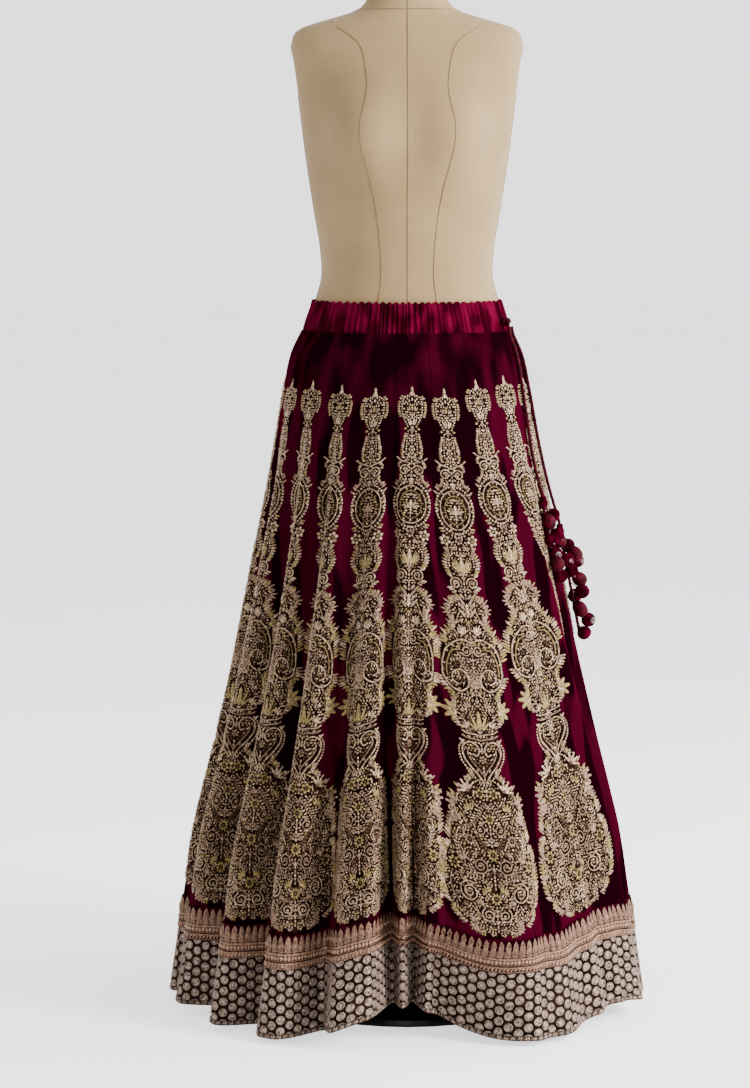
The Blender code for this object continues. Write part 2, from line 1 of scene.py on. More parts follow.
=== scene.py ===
"""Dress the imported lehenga: velvet gores, metal-thread columns, coin border, tassels and the dress form.

Metres, +Z up. An angle round the skirt is in degrees, 0 at the front (-Y), and grows towards +X. Raised work
is laid out flat in millimetres, x across and y down, before it is laid on the cloth.
"""

from __future__ import annotations

import logging
import math
from collections.abc import Callable, Sequence
from dataclasses import dataclass, field
from enum import IntEnum
from functools import cache, cached_property
from typing import NamedTuple

import bmesh
import bpy
import numpy as np
from mathutils import Matrix, Vector


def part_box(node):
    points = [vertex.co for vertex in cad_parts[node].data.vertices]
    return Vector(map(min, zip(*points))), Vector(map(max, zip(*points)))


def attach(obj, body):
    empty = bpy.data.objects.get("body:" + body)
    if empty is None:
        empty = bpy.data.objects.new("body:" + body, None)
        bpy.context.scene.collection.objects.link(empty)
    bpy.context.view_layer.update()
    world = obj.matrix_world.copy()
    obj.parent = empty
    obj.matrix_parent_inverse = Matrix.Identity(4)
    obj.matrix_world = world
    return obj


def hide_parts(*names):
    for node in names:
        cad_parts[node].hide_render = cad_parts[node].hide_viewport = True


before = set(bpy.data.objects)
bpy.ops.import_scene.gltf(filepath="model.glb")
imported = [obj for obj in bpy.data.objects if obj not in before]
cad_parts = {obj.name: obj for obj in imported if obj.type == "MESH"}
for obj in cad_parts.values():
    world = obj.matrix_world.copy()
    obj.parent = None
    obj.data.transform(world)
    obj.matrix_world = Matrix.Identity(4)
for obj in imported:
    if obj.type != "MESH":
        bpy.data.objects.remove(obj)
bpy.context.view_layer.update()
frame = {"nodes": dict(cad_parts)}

LOG = logging.getLogger("lehenga")
Array = np.ndarray
Spot = tuple[float, float]
Place = Callable[[Array, Array, Array], Array]
Mesh = bmesh.types.BMesh
Piece = bpy.types.Object
Node = bpy.types.Node
Socket = bpy.types.NodeSocket
Settings = dict[str | int, object]
Links = dict[str | int, Socket]

WAIST_HEIGHT = 0.9935
HEM_HEIGHT = 0.008
SKIRT_DROP = WAIST_HEIGHT - HEM_HEIGHT
KALI_COUNT = 20
STRIP_COUNT = 4
GORES_PER_STRIP = KALI_COUNT // STRIP_COUNT
CLOTH = 0.0020
BORDER_CLOTH = 0.0024
BORDER_HEIGHT = 0.097
BAND_HEIGHT = 0.048
BAND_CLOTH = 0.0012
BAND_LIFT = 0.0007
BORDER_TOP = 1 - BORDER_HEIGHT / SKIRT_DROP
BAND_TOP = BORDER_TOP - BAND_HEIGHT / SKIRT_DROP
CASING_HEIGHT = 0.043
CASING_CLOTH = 0.0028
SEAM_GAP = 0.0003
SLIT_ANGLE = 73.0
CORD_DIAMETER = 0.005
BALL_RADIUS = 0.0100
PICTURE_HEIGHT_PX = 1088
TINY = 1e-6
ROPE_ASIDE = (0.37, 0.91, 0.18)
PLY_GROOVE = 0.16


# ---- Small helpers ----
def linear(code: str) -> tuple[float, float, float, float]:
    """Turn an sRGB hex colour into linear values.

    Args:
        code: six hex digits after a hash sign.

    Returns:
        Linear red, green, blue and an alpha of 1.
    """
    parts = [int(code[i : i + 2], 16) / 255 for i in (1, 3, 5)]
    red, green, blue = (c / 12.92 if c <= 0.04045 else ((c + 0.055) / 1.055) ** 2.4 for c in parts)
    return red, green, blue, 1.0


class Nodes:
    """The nodes of a material or a world while it is being built."""

    def __init__(self, tree: bpy.types.NodeTree, shader: str) -> None:
        """Take hold of a node tree and of the shader in it."""
        self.tree, self.shader = tree, tree.nodes[shader]

    @cached_property
    def place(self) -> Socket:
        """Give where the surface is."""
        return self.add("TexCoord").outputs["Object"]

    def add(self, kind: str, settings: Settings | None = None, links: Links | None = None) -> Node:
        """Add a node with its settings and links.

        Args:
            kind: the node's type, without its "ShaderNode".
            settings: values by the name of the node's option, or by the name or number of its input.
            links: output sockets by the name or number of the input that each feeds.

        Returns:
            The new node.
        """
        node = self.tree.nodes.new("ShaderNode" + kind)
        for name, value in (settings or {}).items():
            if isinstance(name, str) and hasattr(node, name):
                setattr(node, name, value)
            else:
                node.inputs[name].default_value = value
        for name, socket in (links or {}).items():
            self.tree.links.new(socket, node.inputs[name])
        return node

    def texture(self, kind: str, settings: Settings) -> Node:
        """Add a texture that is read where the surface is."""
        return self.add("Tex" + kind, settings, {"Vector": self.place})

    def feed(self, **links: Socket) -> None:
        """Feed the shader's inputs, whose names have _ for a space."""
        for name, socket in links.items():
            self.tree.links.new(socket, self.shader.inputs[name.replace("_", " ")])


def stand(name: str, data: bpy.types.ID) -> Piece:
    """Stand a new mesh, lamp or camera in the scene."""
    bpy.context.scene.collection.objects.link(made := bpy.data.objects.new(name, data))
    return made


def through_rows(x: Array, xs: Sequence[float], ys: Sequence[float]) -> Array:
    """Read a smooth curve through a table's rows.

    Args:
        x: where to read it.
        xs: the rows' places, growing.
        ys: the rows' values.

    Returns:
        The values at x.
    """
    xs, ys = np.asarray(xs, float), np.asarray(ys, float)
    slopes = np.gradient(ys, xs)
    i = np.clip(np.searchsorted(xs, x) - 1, 0, len(xs) - 2)
    step = xs[i + 1] - xs[i]
    u = np.clip((x - xs[i]) / step, 0, 1)
    return (
        ys[i] * (2 * u**3 - 3 * u**2 + 1) + ys[i + 1] * (3 * u**2 - 2 * u**3)
        + step * (slopes[i] * (u**3 - 2 * u**2 + u) + slopes[i + 1] * (u**3 - u**2))
    )


def bell(offset: Array, half_width: float) -> Array:
    """Give 1 at no offset, falling smoothly to 0 at the half width, in wrapped degrees."""
    wrapped = (offset + 180) % 360 - 180
    return np.where(np.abs(wrapped) < half_width, (1 + np.cos(np.pi * wrapped / half_width)) / 2, 0)


def wave(degrees: Array) -> Array:
    """Give a sine of degrees."""
    return np.sin(np.radians(degrees))


def oval(angle: Array, wide: Array, deep: Array) -> Array:
    """Give an ellipse's radius at an angle, from its half width and half depth."""
    theta = np.radians(angle)
    return 1 / np.sqrt((np.sin(theta) / wide) ** 2 + (np.cos(theta) / deep) ** 2)


def around(radius: Array, angle: Array, height: Array) -> Array:
    """Give points at radii, angles and heights."""
    theta = np.radians(angle)
    return np.stack([radius * np.sin(theta), -radius * np.cos(theta), height + 0 * radius], axis=-1)


def heading(lean: Array) -> Array:
    """Give flat unit vectors that lean clockwise from straight up, in degrees."""
    way = np.radians(lean)
    return np.stack([np.sin(way), -np.cos(way)], axis=-1)


def course(path: Array) -> Array:
    """Give how a flat path leans at each of its points, in degrees clockwise from straight up."""
    ahead = np.gradient(path, axis=0)
    return np.degrees(np.arctan2(ahead[:, 0], -ahead[:, 1]))


def run_along(path: Array) -> Array:
    """Give how far along a path each of its points lies."""
    return np.concatenate([[0], np.cumsum(np.linalg.norm(np.diff(path, axis=0), axis=1))])


def spots_along(path: Array, at: Array) -> Array:
    """Give the points that lie at distances along a path."""
    run = run_along(path)
    return np.stack([np.interp(at, run, column) for column in path.T], axis=-1)


def curve(*knots: Spot, step: float = 3.0) -> Array:
    """Give a smooth flat line through a few knots.

    Args:
        knots: the points to pass through.
        step: about how far apart the line's points are.

    Returns:
        The line's points.
    """
    rows = np.asarray(knots, float)
    run = run_along(rows)
    at = np.linspace(0, run[-1], max(4, int(run[-1] / step) + 1))
    return np.stack([through_rows(at, run, column) for column in rows.T], axis=1)


def level_row(x: Array, y: float) -> Array:
    """Give flat points side by side at one height."""
    return np.stack([x, np.full(len(x), y)], axis=1)


# ---- Finishes ----
@dataclass(frozen=True)
class Finish:
    """What every finish has: two tones that drift over soft patches, a roughness and a fine grain.

    Attributes:
        name: the material's name.
        base: the main colour.
        second: the colour that the main one drifts to.
        patch_mm: the size of the drifting patches.
        roughness: the surface's roughness.
        metallic: how far it is a metal.
        stretch: how the patches are squeezed along each axis.
        bump_mm: the grain's size.
        bump_strength: how strongly the grain shows.
        bump_depth: its depth in metres.
        low: the noise value below which all is the main colour.
        high: the noise value above which all is the second.
    """

    name: str
    base: str
    second: str
    patch_mm: float
    roughness: float
    metallic: float = 0.0
    stretch: tuple[float, float, float] = (1.0, 1.0, 1.0)
    bump_mm: float = 1.0
    bump_strength: float = 0.2
    bump_depth: float = 0.0006
    low: float = 0.38
    high: float = 0.66

    def sockets(self) -> Settings:
        """Give the shader sockets that are the same all over."""
        return {}

    @cache
    def material(self) -> bpy.types.Material:
        """Build the material once, and give the same one after that.

        Returns:
            The material.
        """
        made = bpy.data.materials.new(self.name)
        made.use_nodes = True
        made.diffuse_color = linear(self.base)
        nodes = Nodes(made.node_tree, "Principled BSDF")
        for name, value in {"Metallic": self.metallic, "Roughness": self.roughness, **self.sockets()}.items():
            nodes.shader.inputs[name].default_value = value
        self.colour(nodes)
        self.relief(nodes)
        return made

    def colour(self, nodes: Nodes) -> None:
        """Drift the base colour from one tone to the other.

        Args:
            nodes: the material's nodes.
        """
        mapped = nodes.add("Mapping", {"Scale": self.stretch}, {"Vector": nodes.place}).outputs[0]
        noise = nodes.add("TexNoise", {"Scale": 1000 / self.patch_mm, "Detail": 3.0, "Roughness": 0.55},
                          {"Vector": mapped})
        ramp = nodes.add("ValToRGB", links={"Fac": self.drift(nodes, noise)})
        for stop, at, tone in zip(ramp.color_ramp.elements, (self.low, self.high), (self.base, self.second)):
            stop.position, stop.color = at, linear(tone)
        nodes.feed(Base_Color=ramp.outputs["Color"])

    def drift(self, nodes: Nodes, noise: Node) -> Socket:
        """Give the value that picks the tone."""
        return noise.outputs["Fac"]

    def grain(self, nodes: Nodes) -> Socket:
        """Give the height of the surface's grain."""
        return nodes.texture("Noise", {"Scale": 1000 / self.bump_mm, "Detail": 2.0}).outputs["Fac"]

    def relief(self, nodes: Nodes) -> None:
        """Raise the grain on the surface."""
        settings = {"Strength": self.bump_strength, "Distance": self.bump_depth}
        nodes.feed(Normal=nodes.add("Bump", settings, {"Height": self.grain(nodes)}).outputs["Normal"])


@dataclass(frozen=True)
class PileVelvet(Finish):
    """Silk-pile velvet: dark where one looks into the pile, bright at a grazing angle.

    The pile's edge glow is the shader's sheen, tinted towards pink. The pile itself is 1.5 mm long
    and lies in brushed patches a few centimetres wide, which are the drifting tones. Where the
    patches are drawn out into long upright streaks, as on the gores, the bright streaks beside dark
    ones are also painted highlight and painted shade of the folds. Above the height calm_above the
    cloth is stretched over the hips, and the patches fade.
    """

    bump_mm: float = 1.4
    sheen: str = "#c22a62"
    sheen_weight: float = 0.05
    calm_above: float = 9.0

    def sockets(self) -> Settings:
        """Give the sheen and the weak gloss of pile."""
        return {"Sheen Weight": self.sheen_weight, "Sheen Roughness": 0.28, "Sheen Tint": linear(self.sheen),
                "Specular IOR Level": 0.0}

    def drift(self, nodes: Nodes, noise: Node) -> Socket:
        """Draw the tones together where the cloth is stretched.

        Args:
            nodes: the material's nodes.
            noise: the noise that makes the patches.

        Returns:
            The value that picks the tone.
        """
        noise.inputs["Detail"].default_value = 0.6
        height = nodes.add("SeparateXYZ", links={"Vector": nodes.place}).outputs["Z"]
        span = {"From Min": self.calm_above, "From Max": self.calm_above + 0.05,
                "To Min": 1.0, "To Max": 0.25}
        calm = nodes.add("MapRange", span, {"Value": height}).outputs["Result"]
        middle = self.low + 0.02
        apart = nodes.add("Math", {"operation": "SUBTRACT", 1: middle}, {0: noise.outputs["Fac"]}).outputs[0]
        return nodes.add("Math", {"operation": "MULTIPLY_ADD", 2: middle}, {0: apart, 1: calm}).outputs[0]


@dataclass(frozen=True)
class MetalThread(Finish):
    """Couched metal thread and coiled wire: broken, sparkling highlights from turn to turn.

    The turns are 0.4 mm on the real wire, and drawn at about twice that so that they show. The colour
    mottles from dark to pale every few millimetres: tone that varies at random, and painted glints.
    """

    bump_mm: float = 0.9
    bump_strength: float = 0.8

    def grain(self, nodes: Nodes) -> Socket:
        """Give the height of the wire's turns."""
        return nodes.texture("Voronoi", {"Scale": 1000 / self.bump_mm, "Randomness": 0.9}).outputs["Distance"]


@dataclass(frozen=True)
class WovenLinen(Finish):
    """Plain-woven linen stretched over a moulded shell: a fine even grid of threads.

    The threads are 0.5 mm apart on the real cover, and drawn at 1.6 mm so that they show.
    """

    bump_mm: float = 1.6
    bump_strength: float = 0.3

    def sockets(self) -> Settings:
        """Give the dry look of flax."""
        return {"Specular IOR Level": 0.2, "Sheen Weight": 0.15}

    def grain(self, nodes: Nodes) -> Socket:
        """Cross two sets of threads.

        Args:
            nodes: the material's nodes.

        Returns:
            The weave's height.
        """
        settings = {"wave_type": "BANDS", "Distortion": 0.6, "Detail": 1.0,
                    "Scale": 500 / self.bump_mm / math.pi}
        warp, weft = (nodes.texture("Wave", {**settings, "bands_direction": axis}).outputs["Fac"]
                      for axis in "XZ")
        return nodes.add("Math", {"operation": "ADD"}, {0: warp, 1: weft}).outputs[0]


@dataclass(frozen=True)
class Satin(Finish):
    """Twisted rayon satin: a soft long gloss."""

    def sockets(self) -> Settings:
        """Give the gloss of floss."""
        return {"Specular IOR Level": 0.05}


@dataclass(frozen=True)
class Lacquer(Finish):
    """A hard clear or coloured coat, such as baked enamel or varnish."""

    coat: float = 0.3

    def sockets(self) -> Settings:
        """Give the clear coat."""
        return {"Coat Weight": self.coat, "Coat Roughness": 0.15}


@dataclass(frozen=True)
class LitPaper(Finish):
    """Translucent paper on a light table: pale, and nearly free of shadow to the eye."""

    glow: float = 1.3

    def sockets(self) -> Settings:
        """Give the glow's colour."""
        return {"Emission Color": linear("#ffffff")}

    def relief(self, nodes: Nodes) -> None:
        """Let the paper glow for the camera alone, so that it throws no light up at the cloth."""
        seen = nodes.add("LightPath").outputs["Is Camera Ray"]
        lit = nodes.add("Math", {"operation": "MULTIPLY", 1: self.glow}, {0: seen})
        nodes.feed(Emission_Strength=lit.outputs[0])


# The gores' two tones run in long upright streaks: painted highlight in the bright tone beside painted shade
# in the dark one.
GORE_VELVET = PileVelvet("wine_silk_velvet", "#120005", "#330213", 24, 0.95, stretch=(1, 1, 0.05), low=0.49,
                         high=0.56, sheen="#b01848", sheen_weight=0.30, calm_above=0.86)
CASING_VELVET = PileVelvet("gathered_wine_velvet", "#30020f", "#5a0624", 16, 0.8, stretch=(1, 1, 0.5),
                           sheen="#c01850", sheen_weight=0.35)
BORDER_GROUND = PileVelvet("border_ground_velvet", "#160e0a", "#281a14", 40, 0.9)
RIBBON_GROUND = PileVelvet("ribbon_ground_velvet", "#140005", "#300210", 24, 0.95, sheen_weight=0.1)
# Padding cloth under the raised work, made near black so that it paints the shade in the gaps between the
# stitches.
PADDING_AND_GAP_SHADE = PileVelvet("padding_cloth_and_gap_shade", "#0e0604", "#24140e", 14, 0.9)
TASSEL_VELVET = PileVelvet("pompom_velvet", "#200008", "#48041a", 9, 0.75, bump_mm=1.2, sheen="#a81040",
                           sheen_weight=0.12)
TASSEL_SATIN = Satin("tassel_satin", "#26000a", "#4c0416", 7, 0.6)
CORD_SATIN = Satin("twisted_satin_cord", "#26000a", "#400214", 8, 0.55)
# The thread and wire finishes mottle between a dark and a pale tone every few millimetres: random tone, and
# painted glints.
PALE_THREAD = MetalThread("pale_gold_thread", "#483224", "#a4866c", 3, 0.46, 0.5, low=0.36, high=0.60)
BRIGHT_THREAD = MetalThread("silver_gold_wire", "#6c543e", "#c8ac8e", 3, 0.38, 0.55, bump_mm=0.8,
                            bump_strength=0.7, high=0.62)
YELLOW_THREAD = MetalThread("yellow_gold_thread", "#605030", "#a89058", 3, 0.45, 0.5)
COPPER_THREAD = MetalThread("copper_thread", "#32200f", "#66492e", 3, 0.48, 0.5)
COIN_RIM_WIRE = MetalThread("rose_silver_wire", "#54423a", "#a08a7c", 6, 0.42, 0.5, bump_strength=0.7,
                            low=0.34, high=0.64)
COIN_FACE_WIRE = MetalThread("worn_silver_wire", "#44342c", "#b29c8c", 3, 0.40, 0.5, bump_mm=1.6,
                             bump_strength=1.0, high=0.62)
RIBBON_WEAVE = MetalThread("rose_gold_ribbon", "#442a1e", "#7c5642", 3, 0.5, 0.4, bump_mm=1.4,
                           bump_strength=0.9)
RIBBON_CORD = MetalThread("pale_rose_cord", "#7c5842", "#c09a7e", 3, 0.44, 0.45)
RIBBON_LEAF = MetalThread("rose_gold_leaf_thread", "#4e3426", "#906c56", 3, 0.46, 0.45, bump_mm=1.2,
                          bump_strength=0.9)
GLASS_BEAD = Lacquer("silvered_glass_bead", "#5c4446", "#9c7e7c", 3, 0.22, 0.5, coat=0.6, bump_strength=0.0)
LINEN = WovenLinen("natural_linen", "#957b56", "#9f855f", 120, 0.85, bump_depth=0.0004)
LINEN_SEAM = WovenLinen("linen_seam", "#6f5938", "#80694a", 60, 0.85)
CAP_WOOD = Lacquer("varnished_beech", "#6d4322", "#8a5a34", 22, 0.42, stretch=(1, 1, 0.15),
                   bump_strength=0.05)
STAND_ENAMEL = Lacquer("black_baked_enamel", "#101012", "#17171a", 60, 0.38, bump_mm=0.8, bump_strength=0.04)
STUDIO_PAPER = LitPaper("lit_studio_paper", "#f4f3f1", "#f8f7f6", 900, 0.9, bump_strength=0.02)


# ---- How the cloth hangs ----
class Outline(NamedTuple):
    """The skirt's half sizes at a height, without its folds."""

    height: float
    half_width: float
    half_depth: float


class Fold(NamedTuple):
    """A valley, or with a negative depth a swelling ridge, that grows from the waist to the hem."""

    hem_deg: float
    waist_deg: float
    half_width_deg: float
    depth: float
    starts: float
    power: float


class Lift(NamedTuple):
    """A stretch of the hem that hangs a little higher."""

    angle_deg: float
    half_width_deg: float
    rise: float


class Crease(NamedTuple):
    """A soft trough, or with a negative depth a ridge, pressed into the velvet."""

    gore: float  # its place, counted in gores from the first seam
    lean: float  # how many gores it drifts on its way down
    top: float
    bottom: float
    half_width: float
    depth: float


OUTLINE = tuple(Outline(*row) for row in (
    (0.9935, 0.154, 0.117), (0.965, 0.168, 0.132), (0.908, 0.180, 0.151), (0.845, 0.190, 0.166),
    (0.785, 0.201, 0.180), (0.6575, 0.226, 0.208), (0.5315, 0.251, 0.236), (0.404, 0.280, 0.264),
    (0.3125, 0.303, 0.286), (0.2675, 0.314, 0.297), (0.1685, 0.330, 0.314), (0.0545, 0.346, 0.334),
    (0.008, 0.353, 0.343),
))
FOLDS = tuple(Fold(*row) for row in (
    (-5.2, -7.0, 4.8, 0.062, 0.06, 1.00), (1.6, 2.4, 4.2, 0.050, 0.26, 1.30),
    (10, 12.5, 5.0, 0.010, 0.00, 1.00), (27, 26, 17, -0.024, 0.30, 1.30),
    (36.5, 31, 5.0, 0.009, 0.03, 0.80), (49, 47, 7.0, 0.013, 0.40, 1.20),
    (58, 47, 5.0, 0.012, 0.03, 0.80), (70, 56, 6.0, -0.012, 0.05, 0.80), (82, 68, 6.8, 0.048, 0.06, 1.00),
    (98, 90, 7.0, 0.052, 0.15, 0.70), (114, 110, 7.4, 0.061, 0.05, 0.62),
    (132, 129.5, 9.4, 0.078, 0.02, 0.62), (152.5, 149, 7.8, 0.058, 0.08, 0.66),
    (168.5, 169, 8.2, 0.072, 0.02, 0.60), (188, 188, 9.6, 0.074, 0.04, 0.66),
    (206, 207, 7.6, 0.066, 0.02, 0.60), (222.5, 226, 8.2, 0.071, 0.06, 0.64),
    (243, 245.5, 9.6, 0.077, 0.02, 0.66), (262, 264.5, 7.4, 0.054, 0.15, 0.80),
    (278, 282.5, 8.2, 0.069, 0.12, 0.76), (297.5, 301, 9.0, 0.066, 0.08, 0.72),
    (315, 320, 7.8, 0.062, 0.04, 0.68), (334.5, 338.5, 8.2, 0.058, 0.08, 0.80),
    (11, 11, 30, 0.078, 0.86, 0.50),
))
LIFTS = (Lift(-3, 29, 0.042), Lift(62, 24, 0.022), Lift(190, 30, 0.012), Lift(290, 24, 0.008))
CREASES = tuple(Crease(*row) for row in (
    (0.10, 0.05, 0.10, 0.62, 0.16, 0.0016), (0.93, -0.10, 0.22, 0.95, 0.13, -0.0022),
    (1.06, 0.06, 0.30, 0.90, 0.12, 0.0020), (1.52, 0.20, 0.02, 0.30, 0.20, 0.0018),
    (2.04, -0.08, 0.18, 0.78, 0.14, -0.0020), (2.30, 0.10, 0.45, 0.98, 0.18, 0.0018),
    (3.05, 0.05, 0.05, 0.55, 0.15, 0.0020), (3.60, -0.12, 0.35, 0.88, 0.18, -0.0016),
    (4.45, 0.08, 0.10, 0.66, 0.16, 0.0018), (5.20, -0.05, 0.30, 0.96, 0.15, -0.0018),
    (6.55, 0.10, 0.04, 0.50, 0.17, 0.0020), (7.40, 0.05, 0.40, 0.98, 0.14, 0.0016),
    (8.35, -0.10, 0.12, 0.70, 0.18, -0.0020), (9.60, 0.08, 0.25, 0.92, 0.15, 0.0018),
    (10.50, 0.04, 0.06, 0.58, 0.18, 0.0016), (11.45, -0.08, 0.38, 0.97, 0.15, -0.0018),
    (12.70, 0.10, 0.10, 0.64, 0.16, 0.0020), (13.55, -0.05, 0.28, 0.90, 0.18, 0.0016),
    (14.40, 0.06, 0.05, 0.52, 0.15, -0.0018), (15.62, 0.08, 0.34, 0.96, 0.17, 0.0018),
    (16.45, -0.06, 0.12, 0.72, 0.15, 0.0020), (17.58, 0.05, 0.30, 0.94, 0.16, -0.0018),
    (18.40, 0.08, 0.08, 0.60, 0.17, 0.0016), (19.05, -0.06, 0.20, 0.86, 0.13, 0.0020),
))
SEAM_ANGLE = (12.5, 9.5)  # the first seam's angle at the waist and at the hem
WIDER_CUTS = {0: 0.13, 1: 0.22}  # gores that are cut wider than the rest, by a share of their width
FOLD_ONSET = 0.07
SEAM_PULL = 0.0007
SEAM_PULL_WIDTH = 0.03


def gore_edges(t: float) -> Array:
    """Find where the gores meet at a level.

    Args:
        t: the share of the way down the skirt.

    Returns:
        Each seam's place, as a share of the way round.
    """
    widths = np.ones(KALI_COUNT)
    flared = np.clip((t - 0.20) / 0.26, 0, 1)
    for gore, extra in WIDER_CUTS.items():
        widths[gore] += extra * flared * flared * (3 - 2 * flared)
    return np.concatenate([[0], np.cumsum(widths)]) / widths.sum()


class Drape:
    """Where the skirt's cloth hangs. s is the share of the way round it, t the share of the way down."""

    def __init__(self, levels: int = 101, samples: int = 2400) -> None:
        """Walk round the skirt at every level, so that the gores get equal widths of cloth.

        Args:
            levels: how many levels to walk round.
            samples: how many steps each walk has.
        """
        self.levels = np.linspace(0, 1, levels)
        self.shares = np.linspace(0, 1, samples + 1)
        self.angles = np.empty((levels, samples + 1))
        self.girths = np.empty(levels)
        self.edges = np.array([gore_edges(level) for level in self.levels])
        for row, level in enumerate(self.levels):
            angle = np.interp(level, (0, 1), SEAM_ANGLE) + np.linspace(0, 360, samples + 1)
            run = run_along(around(self.radius(angle, level), angle, np.zeros(1)))
            self.girths[row] = run[-1]
            shares = np.interp(self.shares * KALI_COUNT, np.arange(KALI_COUNT + 1), self.edges[row])
            self.angles[row] = np.interp(shares, run / run[-1], angle)

    @staticmethod
    def radius(angle: Array, t: Array) -> Array:
        """Measure from the axis to the outer face.

        Args:
            angle: the angle in degrees.
            t: the share of the way down.

        Returns:
            The distance.
        """
        heights, wide, deep = zip(*OUTLINE[::-1])
        height = WAIST_HEIGHT - t * SKIRT_DROP
        radius = oval(angle, through_rows(height, heights, wide), through_rows(height, heights, deep))
        for fold in FOLDS:
            centre = fold.waist_deg + (fold.hem_deg - fold.waist_deg) * t
            run = np.clip((t - fold.starts) / (1 - fold.starts), 0, 1)
            grown = (1 + FOLD_ONSET) * run ** (1 + fold.power) / (run + FOLD_ONSET)
            radius = radius - fold.depth * grown * bell(angle - centre, fold.half_width_deg)
        return radius

    def angle(self, s: Array, t: Array) -> Array:
        """Find the angle of a vertical thread.

        Args:
            s: the share of the way round.
            t: the share of the way down.

        Returns:
            The angle in degrees.
        """
        turns, s = np.floor(s), s - np.floor(s)
        row = np.clip(t * (len(self.levels) - 1), 0, len(self.levels) - 1 - TINY)
        column = s * (len(self.shares) - 1)
        i, j = row.astype(int), np.minimum(column.astype(int), len(self.shares) - 2)
        a, b = row - i, column - j
        above = self.angles[i, j] * (1 - b) + self.angles[i, j + 1] * b
        below = self.angles[i + 1, j] * (1 - b) + self.angles[i + 1, j + 1] * b
        return above * (1 - a) + below * a + 360 * turns

    def face(self, s: Array, t: Array) -> Array:
        """Give points of the plain outer face.

        Args:
            s: the share of the way round.
            t: the share of the way down.

        Returns:
            The points.
        """
        angle = self.angle(s, t)
        rise = sum(lift.rise * bell(angle - lift.angle_deg, lift.half_width_deg) for lift in LIFTS)
        return around(self.radius(angle, t), angle, WAIST_HEIGHT - t * (SKIRT_DROP - rise))

    def outward(self, s: Array, t: Array, ds: float = 2e-4, dt: float = 2e-3) -> Array:
        """Give the outer face's unit normals.

        Args:
            s: the share of the way round.
            t: the share of the way down.
            ds: the step round that the slope is read over.
            dt: the step down.

        Returns:
            The normals.
        """
        along = self.face(s + ds, t) - self.face(s - ds, t)
        down = self.face(s, np.minimum(t + dt, 1)) - self.face(s, np.maximum(t - dt, 0))
        normal = np.cross(down, along)
        return normal / np.linalg.norm(normal, axis=-1, keepdims=True)

    @staticmethod
    def pressed(s: Array, t: Array) -> Array:
        """Measure how the creases and the seams' pull move the cloth.

        Args:
            s: the share of the way round.
            t: the share of the way down.

        Returns:
            How far the cloth stands proud of the plain face.
        """
        gore = s * KALI_COUNT
        out = np.zeros(np.broadcast(s, t).shape)
        for crease in CREASES:
            run = (t - crease.top) / (crease.bottom - crease.top)
            fade = np.where((run > 0) & (run < 1), np.sin(np.pi * np.clip(run, 0, 1)) ** 0.8, 0)
            place = crease.gore + crease.lean * run
            apart = (gore - place + KALI_COUNT / 2) % KALI_COUNT - KALI_COUNT / 2
            out = out - crease.depth * fade * np.exp(-((apart / crease.half_width) ** 2))
        beside = np.abs((gore + 0.5) % 1 - 0.5)
        return out - SEAM_PULL * np.exp(-((beside / SEAM_PULL_WIDTH) ** 2))

    def hang(self, s: Array, t: Array, out: Array) -> Array:
        """Give points a distance out from the creased outer face."""
        return self.face(s, t) + self.outward(s, t) * (np.asarray(out) + self.pressed(s, t))[..., None]

    def girth(self, t: Array) -> Array:
        """Give the cloth's length round the skirt."""
        return np.interp(t, self.levels, self.girths)

    def gore_width(self, gore: int, t: Array) -> Array:
        """Give the width of one gore's cloth."""
        return self.girth(t) * np.interp(t, self.levels, self.edges[:, gore + 1] - self.edges[:, gore])

    def hem_thread(self, share: Array) -> Array:
        """Give the vertical thread that meets the hem a share of its length round."""
        return np.interp(share, self.edges[-1], np.arange(KALI_COUNT + 1) / KALI_COUNT)

    def slope(self, share: float, top: float, bottom: float) -> float:
        """Measure the cloth down one of its vertical threads."""
        t = np.linspace(top, bottom, 80)
        return float(run_along(self.face(np.full(80, share), t))[-1])


# ---- Meshes ----
def dressed(name: str, mesh: bpy.types.Mesh, finishes: Sequence[Finish]) -> Piece:
    """Give a mesh its finishes and stand it in the scene.

    Args:
        name: the piece's name.
        mesh: its mesh.
        finishes: one for each material index.

    Returns:
        The new object.
    """
    mesh.shade_smooth()
    for finish in finishes:
        mesh.materials.append(finish.material())
    return stand(name, mesh)


def finished(name: str, bm: Mesh, finish: Finish, sharp_deg: float = 180) -> Piece:
    """Turn a bmesh into a piece that stands where it was made.

    Args:
        name: the piece's name.
        bm: its mesh, which is freed.
        finish: what covers it.
        sharp_deg: edges that turn more than this stay sharp.

    Returns:
        The new object.
    """
    mesh = bpy.data.meshes.new(name)
    bm.to_mesh(mesh)
    bm.free()
    made = dressed(name, mesh, [finish])
    if sharp_deg < 180:
        mesh.set_sharp_from_angle(angle=math.radians(sharp_deg))
    return made


class Grid(NamedTuple):
    """A flat grid a unit square, with each vertex's place across it, its layer, and its column and row."""

    bm: Mesh
    x: Array  # from -0.5 to 0.5
    z: Array
    column: Array
    row: Array


def unit_grid(across: int, down: int, slab: bool = False) -> Grid:
    """Make a flat grid.

    Args:
        across: how many faces it has across.
        down: how many down.
        slab: whether it is a closed slab, with z 1 on its outer side.

    Returns:
        The grid.
    """
    bm = bmesh.new()
    bmesh.ops.create_grid(bm, x_segments=across, y_segments=down, size=0.5)
    if slab:
        for item in bmesh.ops.extrude_face_region(bm, geom=bm.faces[:])["geom"]:
            if isinstance(item, bmesh.types.BMVert):
                item.co.z = 1
    flat = np.array([vertex.co for vertex in bm.verts])
    column, row = (np.rint((flat[:, axis] + 0.5) * cells).astype(int)
                   for axis, cells in enumerate((across, down)))
    return Grid(bm, flat[:, 0], flat[:, 2], column, row)


